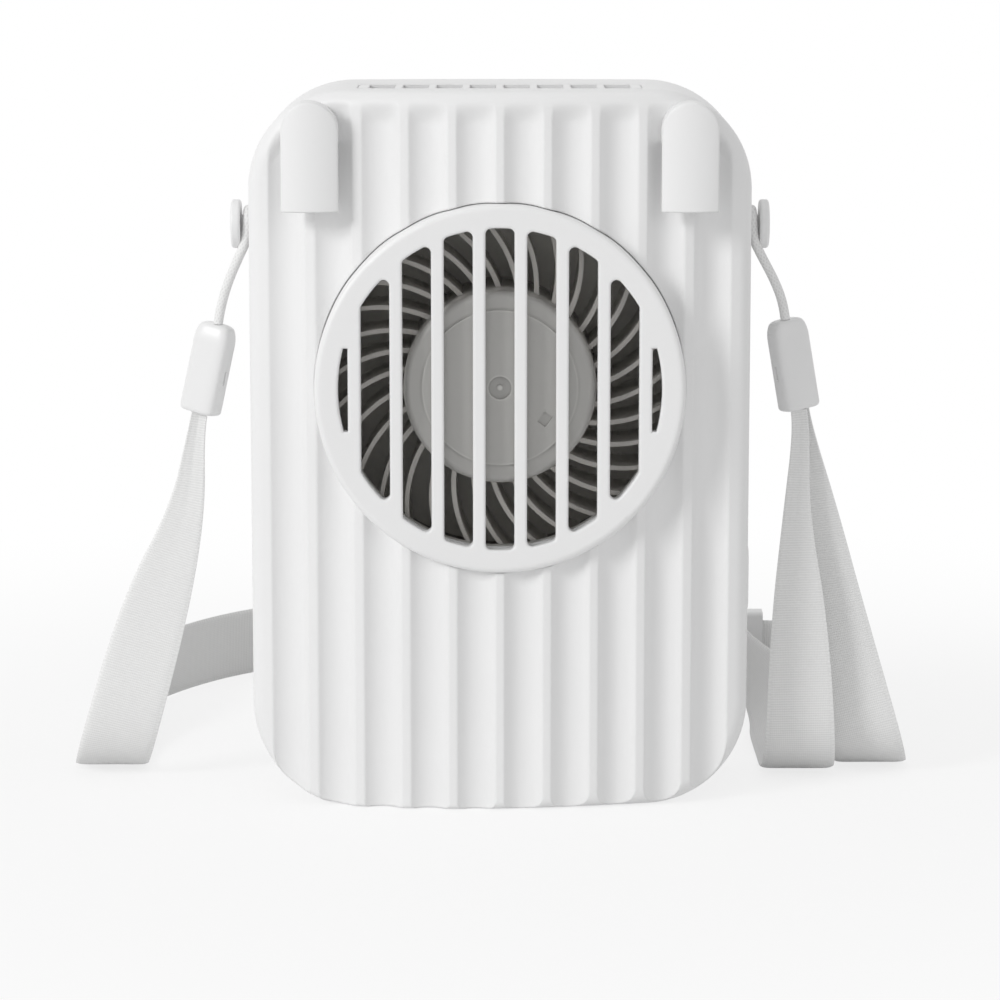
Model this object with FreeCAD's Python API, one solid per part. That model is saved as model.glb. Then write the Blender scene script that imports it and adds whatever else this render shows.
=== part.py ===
import FreeCAD, Part
import math
import os

V = FreeCAD.Vector

# Sizes in millimetres. X is across, Y runs from the grille to the back, Z is up.
# The origin is on the floor under the middle of the fan.

# Housing
body_width = 66.0
body_height = 95.0
body_depth = 30.0
corner_radius = 13.25
front_bow = 6.0
back_bow = 3.0
rim_fillet = 2.4
base_fillet = 0.6
shell_wall = 1.6
overrun = 2.0
fit_clear = 0.1
round_share = 0.9
along_share = 0.9

# Flutes
flute_pitch = 6.18
flute_depth = 1.2
ridge_flat = 1.1
shoulder_round = 0.5
shoulder_proud = 0.01
rim_band = 1.0
flat_arc_share = 20.0
front_channels = 10
side_channels = 3

# Lip that lines up the two shells
lip_height = 1.4
lip_wall = 0.8

# Case screws and their bosses
boss_x = 25.4
boss_low_share = 0.15263
boss_high_drop = 13.3
boss_radius = 2.6
screw_radius = 0.95
screw_pilot_clear = 0.05
screw_hole_clear = 0.2
screw_grip = 7.5
screw_head_radius = 1.8
screw_head_height = 1.3
screw_seat_depth = 7.0
screw_recess_clear = 0.25

# Intake grille
fan_share = 0.59263
grille_radius = 24.2
grille_proud = 1.0
grille_plate = 1.8
grille_skirt_wall = 1.6
grille_seat_depth = 4.8
grille_edge_round = 0.8
slot_field_radius = 21.1
slot_width = 3.76
slot_pitch = 5.41
slot_count = 7
slot_corner = 0.75
slot_edge_round = 0.3
side_slot_width = 1.3
side_slot_length = 10.9
collar_floor = 1.8
collar_radius = 26.2
inlet_radius = 21.6

# Impeller
hub_radius = 12.65
hub_gap = 1.0
hub_plate = 1.4
hub_wall = 1.25
hub_edge_round = 0.9
hub_step_radius = 10.2
hub_step_height = 0.3
dimple_radius = 1.5
dimple_depth = 0.3
vestige_radius = 0.4
vestige_height = 0.2
hub_core_radius = 3.0
gate_mark_length = 1.65
gate_mark_width = 1.25
gate_mark_radius = 7.2
gate_mark_depth = 0.3
gate_mark_angle = -35.0
gate_mark_tilt_angle = -54.0
blade_count = 31
blade_tip_radius = 23.2
blade_thickness = 0.7
blade_gap = 0.7
blade_plate = 1.2
blade_mid_share = 0.47
blade_mid_angle = 9.5
blade_tip_angle = 21.0

# Motor
shaft_radius = 1.0
shaft_cover = 0.8
shaft_tail = 0.4
cup_wall = 0.6
cup_depth = 8.6
magnet_thickness = 0.9
magnet_height = 6.6
magnet_set_back = 1.4
air_gap = 0.3
stator_height = 4.4
stator_set_back = 2.4
stator_teeth = 9
tooth_width = 1.9
tooth_tip = 0.8
stator_yoke = 1.6
coil_growth = 0.55
motor_tube_radius = 2.8
motor_tube_bore = 2.1
motor_tube_reach = 1.4
bearing_length = 2.5
bearing_clear = 0.03
press_clear = 0.02
motor_board_radius = 8.4
motor_board_thick = 0.8
motor_base_radius = 14.0
motor_base_thick = 1.4
motor_screw_circle = 11.0
motor_screw_count = 3
motor_screw_radius = 0.8
motor_screw_head = 1.5
motor_screw_head_height = 0.6
motor_screw_length = 6.4
motor_post_radius = 2.2
motor_post_length = 4.5

# Scroll duct
scroll_radius = 24.9
scroll_step = 1.4
scroll_start_angle = 50.0
scroll_arc_angle = 90.0
scroll_arcs = 3
scroll_wall = 1.2
scroll_floor = 1.4
scroll_gap = 1.0
scroll_offset_x = 0.3
scroll_offset_z = -0.7
duct_right_top = 19.8

# Outlet grille in the top
outlet_width = 37.0
outlet_front_gap = 5.0
outlet_back_gap = 0.1
outlet_frame = 1.4
outlet_bar = 1.0
outlet_slots = 8
outlet_corner = 2.0

# Clip tongues
clip_x = 24.6
clip_width = 7.4
clip_length = 14.2
clip_top_drop = 1.4
clip_thickness = 2.1
clip_crown = 0.9
clip_edge_round = 0.3
clip_root_height = 5.4
tenon_width = 3.8
tenon_height = 3.0
tenon_drop = 6.0
tenon_reach = 1.0

# Strap studs
stud_drop = 18.6
stud_head_radius = 3.25
stud_head_thick = 1.3
stud_stand = 2.85
stud_neck_radius = 1.2
stud_flange_radius = 2.4
stud_flange_thick = 1.2
stud_edge_round = 0.4

# Power button, switch and indicator
button_share = 0.30526
button_length = 9.0
button_width = 3.8
button_proud = 0.4
button_gap = 0.12
button_flange = 0.8
button_flange_rim = 0.6
button_travel = 0.5
pad_margin = 0.8
plunger_radius = 0.8
plunger_reach = 1.6
switch_length = 6.0
switch_depth = 3.0
switch_height = 3.4
lamp_radius = 0.9
lamp_drop = 7.7
lamp_clear = 0.05

# Control board, charging port and battery
board_thick = 1.0
board_width = 42.0
board_gap = 0.2
board_over = 3.0
board_tab_inset = 0.6
board_tab_drop = 8.8
board_tab_rise = 4.0
board_post_x = 17.0
board_post_z = 8.4
board_post_radius = 2.0
board_screw_radius = 0.7
board_screw_head = 1.4
board_screw_head_height = 0.7
board_screw_length = 4.0
port_width = 8.94
port_height = 3.26
port_depth = 7.3
port_wall = 0.3
port_recess = 0.6
port_tongue_width = 6.7
port_tongue_thick = 0.7
battery_width = 40.0
battery_top_gap = 2.6
battery_front_gap = 2.2
battery_gap = 0.4
battery_corner = 1.5
battery_rib_x = 12.0
battery_rib_wall = 1.2
chip_size = 6.0
chip_thick = 1.2
choke_radius = 2.6
choke_height = 2.4

# Leads
lead_radius = 0.4
lead_pitch = 1.1
lead_hole_radius = 2.2
lead_hole_drop = 6.0
motor_lead_count = 3
battery_lead_count = 2
battery_lead_x = 14.0
lead_bow = 0.6
lead_clear = 1.2

# Neck strap
cord_radius = 0.6
cord_clear = 0.1
left_end_out = 4.8
left_end_drop = 13.4
left_end_angle = 12.2
right_end_out = 5.25
right_end_drop = 12.8
right_end_angle = 9.7
end_length = 12.3
end_twist_angle = 27.0
end_width = 5.2
end_top_width = 4.1
end_thick = 3.4
end_top_thick = 3.2
end_round = 1.1
end_top_round = 0.9
end_foot_round = 0.5
end_slit_width = 0.5
end_slit_depth = 0.6
end_slit_length = 2.2
end_slit_share = 0.6
end_run_offset = 0.85
end_run_shift = 0.2
end_lead = 2.5
cord_leg = 0.65
cord_lead = 2.2
cord_rise_shares = (0.46, 0.7)
cord_near_shares = (0.66, 0.97)
cord_spread_shares = (0.6, 1)
ribbon_width = 10.0
ribbon_thick = 0.7
ribbon_neck_width = 2.2
ribbon_neck_thick = 1.4
coil_eye_radius = 11.0
coil_pitch = 4.0
coil_half_turns = 3
coil_angle = -45.0
coil_centre_x = -6.0
coil_centre_y = 63.0
coil_lead = 10.0
arc_share = 0.45
arc_steps = 4
slider_x = 36.4
slider_height = 13.0
slider_length = 6.0
slider_thick = 3.6
slider_slot = 1.3
slider_slot_clear = 0.3
slider_round = 0.6

slider_level = 6.5

# Points of the strap's routes: x, y, z, the way its front faces, width and thickness
ribbon_full = (ribbon_width, ribbon_thick)
ribbon_neck = (ribbon_neck_width, ribbon_neck_thick)
facing_front = (0, -1, 0)
facing_bend = (0, -1, -1)
facing_floor = (0, 0, -1)
edge_height = ribbon_width / 2
coil_entry_run = 14.1
coil_exit_run = 11.0
coil_exit_lead = 4.0
slider_run = 15.9
stud_height = body_height - stud_drop
left_points = [
    ((-43.0, 1.6, 0.49 * stud_height), facing_front, (5.2, 0.9)),
    ((-47.4, 1.0, 0.314 * stud_height), facing_front, (9.6, ribbon_thick)),
    ((-53.6, 1.0, 0.5), facing_bend, ribbon_full),
    ((-54.4, 25.0, 0.8), facing_floor, ribbon_full),
    ((-54.2, 38.0, 4.6), (0.7, 0, -0.7), ribbon_full),
    ((-52.2, 51.0, 5.2), (0.95, -0.3, 0), ribbon_full),
]
right_points = [
    ((52.0, 47.3, 5.2), (-0.95, -0.3, 0), ribbon_full),
    ((51.8, 36.1, 4.5), (-0.7, 0, -0.7), ribbon_full),
    ((51.6, 24.9, 0.8), facing_floor, ribbon_full),
    ((51.4, 3.6, 0.5), facing_bend, ribbon_full),
    ((47.6, 3.6, 0.275 * stud_height), facing_front, ribbon_full),
    ((44.2, 3.2, 0.478 * stud_height), facing_front, (5.0, 0.9)),
]
return_points = [
    ((40.6, 0.4, 0.49 * stud_height), facing_front, (3.8, 1.0)),
    ((40.8, -0.4, 0.295 * stud_height), facing_front, (7.4, ribbon_thick)),
    ((41.0, -0.6, 0.5), facing_bend, ribbon_full),
    ((40.8, 22.0, 0.8), facing_floor, ribbon_full),
    ((40.2, 33.5, 4.5), (0.7, 0, -0.7), ribbon_full),
    ((slider_x, 45.5, slider_level), (1, 0, 0), ribbon_full),
]

# Worked-out places
half_width = body_width / 2
fan_height = body_height * fan_share
boss_low_z = body_height * boss_low_share
boss_high_z = body_height - boss_high_drop
clip_top = body_height - clip_top_drop
clip_bottom = clip_top - clip_length
stud_reach = half_width + stud_stand
button_height = body_height * button_share
front_y = -(body_depth + grille_proud) / 2 + grille_proud
back_y = front_y + body_depth
grille_front = front_y - grille_proud
front_arc = (half_width ** 2 + front_bow ** 2) / (2 * front_bow)
back_arc = (half_width ** 2 + back_bow ** 2) / (2 * back_bow)
wall_total = flute_depth + shell_wall
parting_y = (front_y + front_bow + back_y - back_bow) / 2
flute_chord = flute_pitch - ridge_flat
flute_radius = (flute_chord ** 2 / 4 + flute_depth ** 2) / (2 * flute_depth)
inner_half = half_width - wall_total
inner_top = body_height - wall_total
seat_y = front_y + grille_seat_depth
collar_back = seat_y + collar_floor
hub_front = grille_front + grille_plate + hub_gap
blade_front = collar_back + blade_gap
base_back = back_y - wall_total - motor_post_length
floor_back = base_back - motor_base_thick
floor_front = floor_back - scroll_floor
impeller_back = floor_front - scroll_gap
blade_back = impeller_back - blade_plate
blade_height = blade_back - blade_front
outlet_front = front_y + outlet_front_gap
outlet_back = parting_y - lip_height - outlet_back_gap
cup_radius = hub_radius - hub_wall
cup_back = impeller_back - fit_clear
cup_front = cup_back - cup_depth
board_front = parting_y - flute_pitch / 2 + switch_depth / 2
board_back = board_front + board_thick
board_bottom = wall_total + lip_wall + 2 * fit_clear + board_gap
battery_top = fan_height - scroll_radius - scroll_arcs * scroll_step - battery_top_gap
board_top = battery_top + board_over
screw_seat = back_y - screw_seat_depth
screw_length = screw_seat - parting_y + screw_grip
duct_top = inner_top - lip_wall - 2 * fit_clear

os.makedirs("parts", exist_ok=True)


def save(name, shape):
    """Write one node and say what it is made of."""
    shape.exportStep("parts/" + name + ".step")
    print(name, len(shape.Solids), "solid(s)", round(shape.Volume, 2), "mm3", shape.isValid())


def block(x0, x1, y0, y1, z0, z1):
    return Part.makeBox(x1 - x0, y1 - y0, z1 - z0, V(x0, y0, z0))


def rod_x(radius, y, z, x0, x1):
    return Part.makeCylinder(radius, x1 - x0, V(x0, y, z), V(1, 0, 0))


def rod_y(radius, x, z, y0, y1):
    return Part.makeCylinder(radius, y1 - y0, V(x, y0, z), V(0, 1, 0))


def ring_y(outer, inner, x, z, y0, y1):
    return rod_y(outer, x, z, y0, y1).cut(rod_y(inner, x, z, y0 - overrun, y1 + overrun))


def fused(shapes):
    return shapes[0].fuse(shapes[1:]).removeSplitter()


def prism(points, along):
    """A flat polygon carried along a vector."""
    return Part.Face(Part.makePolygon(points + points[:1])).extrude(along)


def rounded_plate(width, height, corner, x, z, y0, y1):
    """A rectangle with rounded corners in XZ, extruded along Y."""
    plate = block(x - width / 2, x + width / 2, y0, y1, z - height / 2, z + height / 2)
    upright = [e for e in plate.Edges if abs(e.tangentAt(e.FirstParameter).y) > along_share]
    return plate.makeFillet(corner, upright)


def pill_x(width, length, y, z, x0, x1):
    """A stadium in YZ, long way up, extruded along X."""
    reach = (length - width) / 2
    ends = [rod_x(width / 2, y, z - reach, x0, x1), rod_x(width / 2, y, z + reach, x0, x1)]
    return fused([block(x0, x1, y - width / 2, y + width / 2, z - reach, z + reach)] + ends)


def bowed_prism(inset):
    """The bowed plan of the housing, drawn in by inset and extruded up."""
    side = half_width - inset
    front_centre = front_y + front_arc
    back_centre = back_y - back_arc
    front_side = front_centre - math.sqrt((front_arc - inset) ** 2 - side ** 2)
    back_side = back_centre + math.sqrt((back_arc - inset) ** 2 - side ** 2)
    low = -overrun
    a = V(-side, front_side, low)
    b = V(side, front_side, low)
    c = V(side, back_side, low)
    d = V(-side, back_side, low)
    edges = [
        Part.Arc(a, V(0, front_y + inset, low), b).toShape(),
        Part.LineSegment(b, c).toShape(),
        Part.Arc(c, V(0, back_y - inset, low), d).toShape(),
        Part.LineSegment(d, a).toShape(),
    ]
    return Part.Face(Part.Wire(edges)).extrude(V(0, 0, body_height + 2 * overrun))


def outline_prism(inset):
    """The front outline with its round corners, drawn in by inset and extruded back."""
    width = body_width - 2 * inset
    height = body_height - 2 * inset
    return rounded_plate(width, height, corner_radius - inset, 0, body_height / 2,
                         front_y - overrun, back_y + overrun)


def smooth_body(inset):
    return bowed_prism(inset).common(outline_prism(inset))


def rim_rounded(body):
    """Round the front and back rims: full at the sides and top, small along the base."""
    document = FreeCAD.newDocument("rim")
    base = document.addObject("Part::Feature", "base")
    base.Shape = body
    rounds = []
    for face in body.Faces:
        if face.BoundBox.YLength > front_bow + fit_clear:
            continue
        for edge in face.OuterWire.OrderedEdges:
            number = [n for n, e in enumerate(body.Edges, 1) if e.isSame(edge)][0]
            ends = [v.Point for v in body.Edges[number - 1].Vertexes]
            radii = [base_fillet if p.z < corner_radius / 2 else rim_fillet for p in ends]
            rounds.append((number, radii[0], radii[1]))
    fillet = document.addObject("Part::Fillet", "fillet")
    fillet.Base = base
    fillet.Edges = rounds
    document.recompute()
    shape = fillet.Shape.copy()
    FreeCAD.closeDocument("rim")
    return shape


def channel_cutter(centre, out, arc):
    """A round-bottomed channel with rounded shoulders, extruded up through the housing.

    centre is the middle of the channel's round in plan, out points away from the wall and arc is the
    wall's radius. The shoulders stand a little proud of the wall, so that they meet it at an edge.
    """
    span = arc + flute_radius - flute_depth
    reach = arc - shoulder_round + shoulder_proud
    join = flute_radius + shoulder_round
    along = (span ** 2 + reach ** 2 - join ** 2) / (2 * span)
    across = V(-out.y, out.x, 0) * math.sqrt(reach ** 2 - along ** 2)
    axis = centre - out * span
    lid = out * (2 * overrun)
    flanks = []
    for sign in (-1, 1):
        middle = axis + out * along + across * sign
        touch = centre + (middle - centre) * (flute_radius / join)
        crest = axis + (middle - axis) * ((arc + shoulder_proud) / reach)
        way = (touch - middle + crest - middle).normalize()
        flanks.append((touch, middle + way * shoulder_round, crest))
    (touch_a, round_a, crest_a), (touch_b, round_b, crest_b) = flanks
    edges = [
        Part.Arc(crest_a, round_a, touch_a).toShape(),
        Part.Arc(touch_a, centre - out * flute_radius, touch_b).toShape(),
        Part.Arc(touch_b, round_b, crest_b).toShape(),
        Part.LineSegment(crest_b, crest_b + lid).toShape(),
        Part.LineSegment(crest_b + lid, crest_a + lid).toShape(),
        Part.LineSegment(crest_a + lid, crest_a).toShape(),
    ]
    return Part.Face(Part.Wire(edges)).extrude(V(0, 0, body_height + 2 * overrun))


def channel_cutters():
    """Channels round the housing. Those of the front and back stop at the rim band of the upper outline."""
    lift = flute_radius - flute_depth
    room = fused([outline_prism(rim_band),
                  block(-body_width, body_width, front_y - overrun, back_y + overrun, -overrun,
                        body_height / 2)])
    cutters = []
    for i in range(front_channels):
        x = (i - (front_channels - 1) / 2) * flute_pitch
        for wall_y, arc, facing in ((front_y, front_arc, -1), (back_y, back_arc, 1)):
            turn = math.asin(x / arc)
            out = V(math.sin(turn), facing * math.cos(turn), 0)
            centre = V(0, wall_y - facing * arc, -overrun) + out * (arc + lift)
            cutters.append(channel_cutter(centre, out, arc).common(room))
    for i in range(side_channels):
        y = parting_y + (i - (side_channels - 1) / 2) * flute_pitch
        for side in (-1, 1):
            centre = V(side * (half_width + lift), y, -overrun)
            cutters.append(channel_cutter(centre, V(side, 0, 0), flat_arc_share * body_height))
    return cutters


def boss_places():
    return [(side * boss_x, z) for side in (-1, 1) for z in (boss_low_z, boss_high_z)]


def motor_screw_places():
    for i in range(motor_screw_count):
        turn = math.radians(90 + 360 * i / motor_screw_count)
        yield motor_screw_circle * math.cos(turn), fan_height + motor_screw_circle * math.sin(turn)


solid_body = smooth_body(0)
rounded_body = rim_rounded(solid_body)
fluted_body = rounded_body.cut(channel_cutters())
cavity = smooth_body(wall_total)
wall_core = smooth_body(flute_depth + shell_wall / 2)
front_half = block(-body_width, body_width, grille_front - overrun, parting_y, -overrun,
                   body_height + overrun)
rear_half = block(-body_width, body_width, parting_y, back_y + overrun, -overrun, body_height + overrun)
button_y = parting_y - flute_pitch / 2
lamp_height = button_height - lamp_drop
port_y = board_front - port_height / 2
outlet_floor = inner_top
clip_root_back = front_y + front_bow


def stud_hole():
    """Holes for both studs, on the parting plane."""
    return rod_x(stud_neck_radius + press_clear, parting_y, stud_height, -body_width, body_width)


def clip_outline(x, y0, y1):
    """A tongue with straight sides and a half-round top, extruded along Y."""
    half = clip_width / 2
    shoulder = clip_top - half
    edges = [
        Part.LineSegment(V(x - half, y0, clip_bottom), V(x + half, y0, clip_bottom)).toShape(),
        Part.LineSegment(V(x + half, y0, clip_bottom), V(x + half, y0, shoulder)).toShape(),
        Part.Arc(V(x + half, y0, shoulder), V(x, y0, clip_top), V(x - half, y0, shoulder)).toShape(),
        Part.LineSegment(V(x - half, y0, shoulder), V(x - half, y0, clip_bottom)).toShape(),
    ]
    return Part.Face(Part.Wire(edges)).extrude(V(0, y1 - y0, 0))


def tenon(x, clear):
    z1 = clip_top - tenon_drop + tenon_height / 2 + clear
    z0 = clip_top - tenon_drop - tenon_height / 2 - clear
    half = tenon_width / 2 + clear
    drop = front_arc - math.sqrt(front_arc ** 2 - clip_x ** 2)
    inner = front_y + drop + wall_total + tenon_reach
    return block(x - half, x + half, grille_front + clip_thickness / 2, inner, z0, z1)


def make_clip(x):
    """A tongue that stands off the shell, rooted at its top, with a tenon through the wall."""
    tongue = clip_outline(x, grille_front, grille_front + clip_thickness)
    crown = (clip_width ** 2 / 4 + clip_crown ** 2) / (2 * clip_crown)
    barrel = Part.makeCylinder(crown, body_height, V(x, grille_front + crown, 0), V(0, 0, 1))
    tongue = tongue.common(barrel)
    face = max((f for f in tongue.Faces if f.BoundBox.YMin < grille_front + fit_clear), key=lambda f: f.Area)
    sides = [e for e in face.Edges if e.BoundBox.ZLength > clip_edge_round]
    tongue = tongue.makeFillet(clip_edge_round, sides)
    root = clip_outline(x, grille_front + clip_thickness, clip_root_back)
    root = root.common(block(x - clip_width, x + clip_width, grille_front, clip_root_back,
                             clip_top - clip_root_height, clip_top))
    return fused([tongue, root.cut(fluted_body), tenon(x, 0)])


def make_front_shell():
    shell = fluted_body.cut(cavity)
    collar = rod_y(collar_radius, 0, fan_height, front_y - overrun, collar_back)
    pad = pill_x(button_width + 2 * pad_margin, button_length + 2 * pad_margin, button_y, button_height,
                 inner_half, half_width)
    adds = [collar.common(wall_core), pad]
    for x, z in boss_places():
        adds.append(rod_y(boss_radius, x, z, front_y, parting_y).common(wall_core))
    for side in (-1, 1):
        post = rod_y(board_post_radius, side * board_post_x, board_post_z, front_y, board_front)
        adds.append(post.common(wall_core))
    shell = fused([shell] + adds).common(front_half)
    flange_seat = pill_x(button_width + 2 * button_flange_rim + 2 * button_gap,
                         button_length + 2 * button_flange_rim + 2 * button_gap, button_y, button_height,
                         inner_half - lip_height, inner_half)
    cuts = [
        rod_y(grille_radius + fit_clear, 0, fan_height, front_y - overrun, seat_y),
        rod_y(inlet_radius, 0, fan_height, front_y, collar_back + overrun),
        pill_x(button_width + 2 * button_gap, button_length + 2 * button_gap, button_y, button_height,
               inner_half - overrun, half_width + overrun),
        flange_seat,
        rod_x(lamp_radius + lamp_clear, button_y, lamp_height, inner_half - overrun, half_width + overrun),
        port_outline(fit_clear, -overrun, wall_total + overrun),
        stud_hole(),
    ]
    cuts.append(outlet_outline(fit_clear, inner_top - overrun, body_height + overrun))
    for side in (-1, 1):
        cuts.append(tenon(side * clip_x, press_clear))
        cuts.append(rod_y(board_screw_radius + screw_pilot_clear, side * board_post_x, board_post_z,
                          board_front - board_screw_length, board_front + overrun))
    for x, z in boss_places():
        cuts.append(rod_y(screw_radius + screw_pilot_clear, x, z, parting_y - screw_grip - fit_clear,
                          parting_y + overrun))
    return shell.cut(cuts)


def lip_block(inset, y0, y1):
    return rounded_plate(body_width - 2 * inset, body_height - 2 * inset, corner_radius - inset, 0,
                         body_height / 2, y0, y1)


def make_lip():
    """A thin ring on the rear shell that lines up the front one."""
    outer = fused([lip_block(wall_total + fit_clear, parting_y - lip_height, parting_y + lip_height),
                   lip_block(wall_total - shell_wall / 2, parting_y, parting_y + lip_height)])
    inset = wall_total + fit_clear + lip_wall
    inner = lip_block(inset, parting_y - lip_height - overrun, parting_y + lip_height + overrun)
    gaps = []
    for side in (-1, 1):
        x0 = side * half_width - stud_flange_thick - wall_total - overrun
        gaps.append(block(x0, x0 + 2 * (stud_flange_thick + wall_total + overrun), parting_y - body_depth,
                          parting_y + body_depth, stud_height - stud_flange_radius - fit_clear,
                          stud_height + stud_flange_radius + fit_clear))
    low = lamp_height - lamp_radius - pad_margin
    high = button_height + button_length / 2 + button_flange_rim + pad_margin
    gaps.append(block(inner_half - 2 * lip_wall, half_width, parting_y - body_depth, parting_y, low, high))
    return outer.cut(inner).cut(gaps)


def make_rear_shell():
    shell = fluted_body.cut(cavity).common(rear_half)
    adds = [make_lip()]
    for x, z in boss_places():
        adds.append(rod_y(boss_radius, x, z, parting_y, back_y).common(wall_core))
    for x, z in motor_screw_places():
        adds.append(rod_y(motor_post_radius, x, z, base_back, back_y).common(wall_core))
    for side in (-1, 1):
        rib = block(side * battery_rib_x - battery_rib_wall / 2, side * battery_rib_x + battery_rib_wall / 2,
                    battery_back(), back_y, board_bottom, battery_top)
        adds.append(rib.common(wall_core))
    shell = fused([shell] + adds)
    cuts = [stud_hole()]
    for x, z in boss_places():
        cuts.append(rod_y(screw_radius + screw_hole_clear, x, z, parting_y - overrun, back_y))
        cuts.append(rod_y(screw_head_radius + screw_recess_clear, x, z, screw_seat, back_y + overrun))
    for x, z in motor_screw_places():
        cuts.append(rod_y(motor_screw_radius + screw_pilot_clear, x, z, base_back - overrun,
                          floor_front + motor_screw_length + fit_clear))
    return shell.cut(cuts)


def battery_back():
    """The cell lies on two ribs in front of the back wall."""
    inner = back_arc - wall_total
    return back_y - back_arc + math.sqrt(inner ** 2 - (battery_width / 2) ** 2) - battery_gap


def port_outline(clear, z0, z1):
    """The stadium outline of the charging port, extruded up."""
    half = port_height / 2 + clear
    reach = (port_width - port_height) / 2
    ends = [Part.makeCylinder(half, z1 - z0, V(s * reach, port_y, z0), V(0, 0, 1)) for s in (-1, 1)]
    return fused([block(-reach, reach, port_y - half, port_y + half, z0, z1)] + ends)


def outlet_outline(clear, z0, z1):
    """The outlet's rounded rectangle, extruded up."""
    half_x = outlet_width / 2 + clear
    plate = block(-half_x, half_x, outlet_front - clear, outlet_back + clear, z0, z1)
    upright = [e for e in plate.Edges if abs(e.tangentAt(e.FirstParameter).z) > along_share]
    return plate.makeFillet(outlet_corner + clear, upright)


def make_outlet_grille():
    """A framed row of slots across the top."""
    frame = outlet_outline(0, outlet_floor, body_height)
    room = outlet_width - 2 * outlet_frame
    width = (room - (outlet_slots - 1) * outlet_bar) / outlet_slots
    cuts = []
    for i in range(outlet_slots):
        x0 = -room / 2 + i * (width + outlet_bar)
        cuts.append(block(x0, x0 + width, outlet_front + outlet_frame, outlet_back - outlet_frame,
                          outlet_floor - overrun, body_height + overrun))
    return frame.cut(cuts)


def grille_slot(x):
    """A vertical slot whose ends follow the round slot field, with its corners eased."""
    slot = block(x - slot_width / 2, x + slot_width / 2, grille_front - overrun, seat_y,
                 fan_height - grille_radius, fan_height + grille_radius)
    slot = slot.common(rod_y(slot_field_radius, 0, fan_height, grille_front - overrun, seat_y))
    along = [e for e in slot.Edges if abs(e.tangentAt(e.FirstParameter).y) > along_share]
    return slot.makeFillet(slot_corner, along)


def make_grille():
    """A shallow cap: slotted plate, rounded rim and a skirt down to the seat."""
    plate = rod_y(grille_radius, 0, fan_height, grille_front, seat_y)
    rim = [e for e in plate.Edges if len(e.Vertexes) == 1 and abs(e.valueAt(0).y - grille_front) < fit_clear]
    plate = plate.makeFillet(grille_edge_round, rim)
    hollow = rod_y(grille_radius - grille_skirt_wall, 0, fan_height, grille_front + grille_plate,
                   seat_y + overrun)
    cuts = [hollow]
    for i in range(slot_count):
        cuts.append(grille_slot((i - (slot_count - 1) / 2) * slot_pitch))
    for side in (-1, 1):
        x = side * (slot_field_radius - side_slot_width / 2)
        slot = rod_y(slot_field_radius, 0, fan_height, grille_front - overrun, seat_y)
        cuts.append(slot.common(block(x - side_slot_width / 2, x + side_slot_width / 2,
                                      grille_front - overrun, seat_y, fan_height - side_slot_length / 2,
                                      fan_height + side_slot_length / 2)))
    plate = plate.cut(cuts)
    reach = slot_field_radius + fit_clear
    mouths = [e for e in plate.Edges if e.BoundBox.YMax < grille_front + fit_clear and
              max(abs(e.BoundBox.XMax), abs(e.BoundBox.XMin)) < reach]
    return plate.makeFillet(slot_edge_round, mouths)


def polar(radius, sweep):
    turn = math.radians(90 + sweep)
    return V(radius * math.cos(turn), 0, radius * math.sin(turn))


def blade_side(shift):
    """The blade's three guide points, moved sideways by shift along the circle."""
    middle = hub_radius + blade_mid_share * (blade_tip_radius - hub_radius)
    root = hub_radius - hub_wall / 2
    places = ((root, 0), (middle, blade_mid_angle), (blade_tip_radius, blade_tip_angle))
    return [polar(r, sweep + math.degrees(shift / r)) for r, sweep in places]


def make_blade():
    """One thin curved blade, extruded from its front edge to the back plate."""
    one = blade_side(-blade_thickness / 2)
    two = blade_side(blade_thickness / 2)
    lean = V(0, blade_front, fan_height)
    edges = [
        Part.Arc(one[0] + lean, one[1] + lean, one[2] + lean).toShape(),
        Part.LineSegment(one[2] + lean, two[2] + lean).toShape(),
        Part.Arc(two[2] + lean, two[1] + lean, two[0] + lean).toShape(),
        Part.LineSegment(two[0] + lean, one[0] + lean).toShape(),
    ]
    return Part.Face(Part.Wire(edges)).extrude(V(0, blade_height + blade_plate / 2, 0))


def make_impeller():
    """Hub cup, back plate and a ring of curved blades."""
    hub = rod_y(hub_radius, 0, fan_height, hub_front, impeller_back)
    rim = [e for e in hub.Edges if len(e.Vertexes) == 1 and abs(e.valueAt(0).y - hub_front) < fit_clear]
    hub = hub.makeFillet(hub_edge_round, rim)
    hub = hub.cut(rod_y(cup_radius, 0, fan_height, hub_front + hub_plate, impeller_back + overrun))
    core = rod_y(hub_core_radius, 0, fan_height, hub_front, cup_front)
    plate = ring_y(blade_tip_radius, hub_radius - hub_wall / 2, 0, fan_height, blade_back, impeller_back)
    blade = make_blade()
    blades = []
    for i in range(blade_count):
        turned = blade.copy()
        turned.rotate(V(0, 0, fan_height), V(0, 1, 0), 360.0 * i / blade_count)
        blades.append(turned)
    face = rod_y(hub_step_radius, 0, fan_height, hub_front - hub_step_height, hub_front + hub_plate)
    solid = fused([hub, core, plate] + blades + [face])
    front = hub_front - hub_step_height
    turn = math.radians(gate_mark_angle)
    x = gate_mark_radius * math.cos(turn)
    z = fan_height + gate_mark_radius * math.sin(turn)
    mark = block(x - gate_mark_length / 2, x + gate_mark_length / 2, front - overrun, front + gate_mark_depth,
                 z - gate_mark_width / 2, z + gate_mark_width / 2)
    mark.rotate(V(x, 0, z), V(0, 1, 0), gate_mark_tilt_angle)
    dimple = ring_y(dimple_radius, vestige_radius, 0, fan_height, front - overrun, front + dimple_depth)
    top = rod_y(vestige_radius, 0, fan_height, front - overrun, front + dimple_depth - vestige_height)
    bore = rod_y(shaft_radius + press_clear, 0, fan_height, shaft_front, cup_front + overrun)
    return solid.cut([mark, dimple, top, bore])


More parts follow.
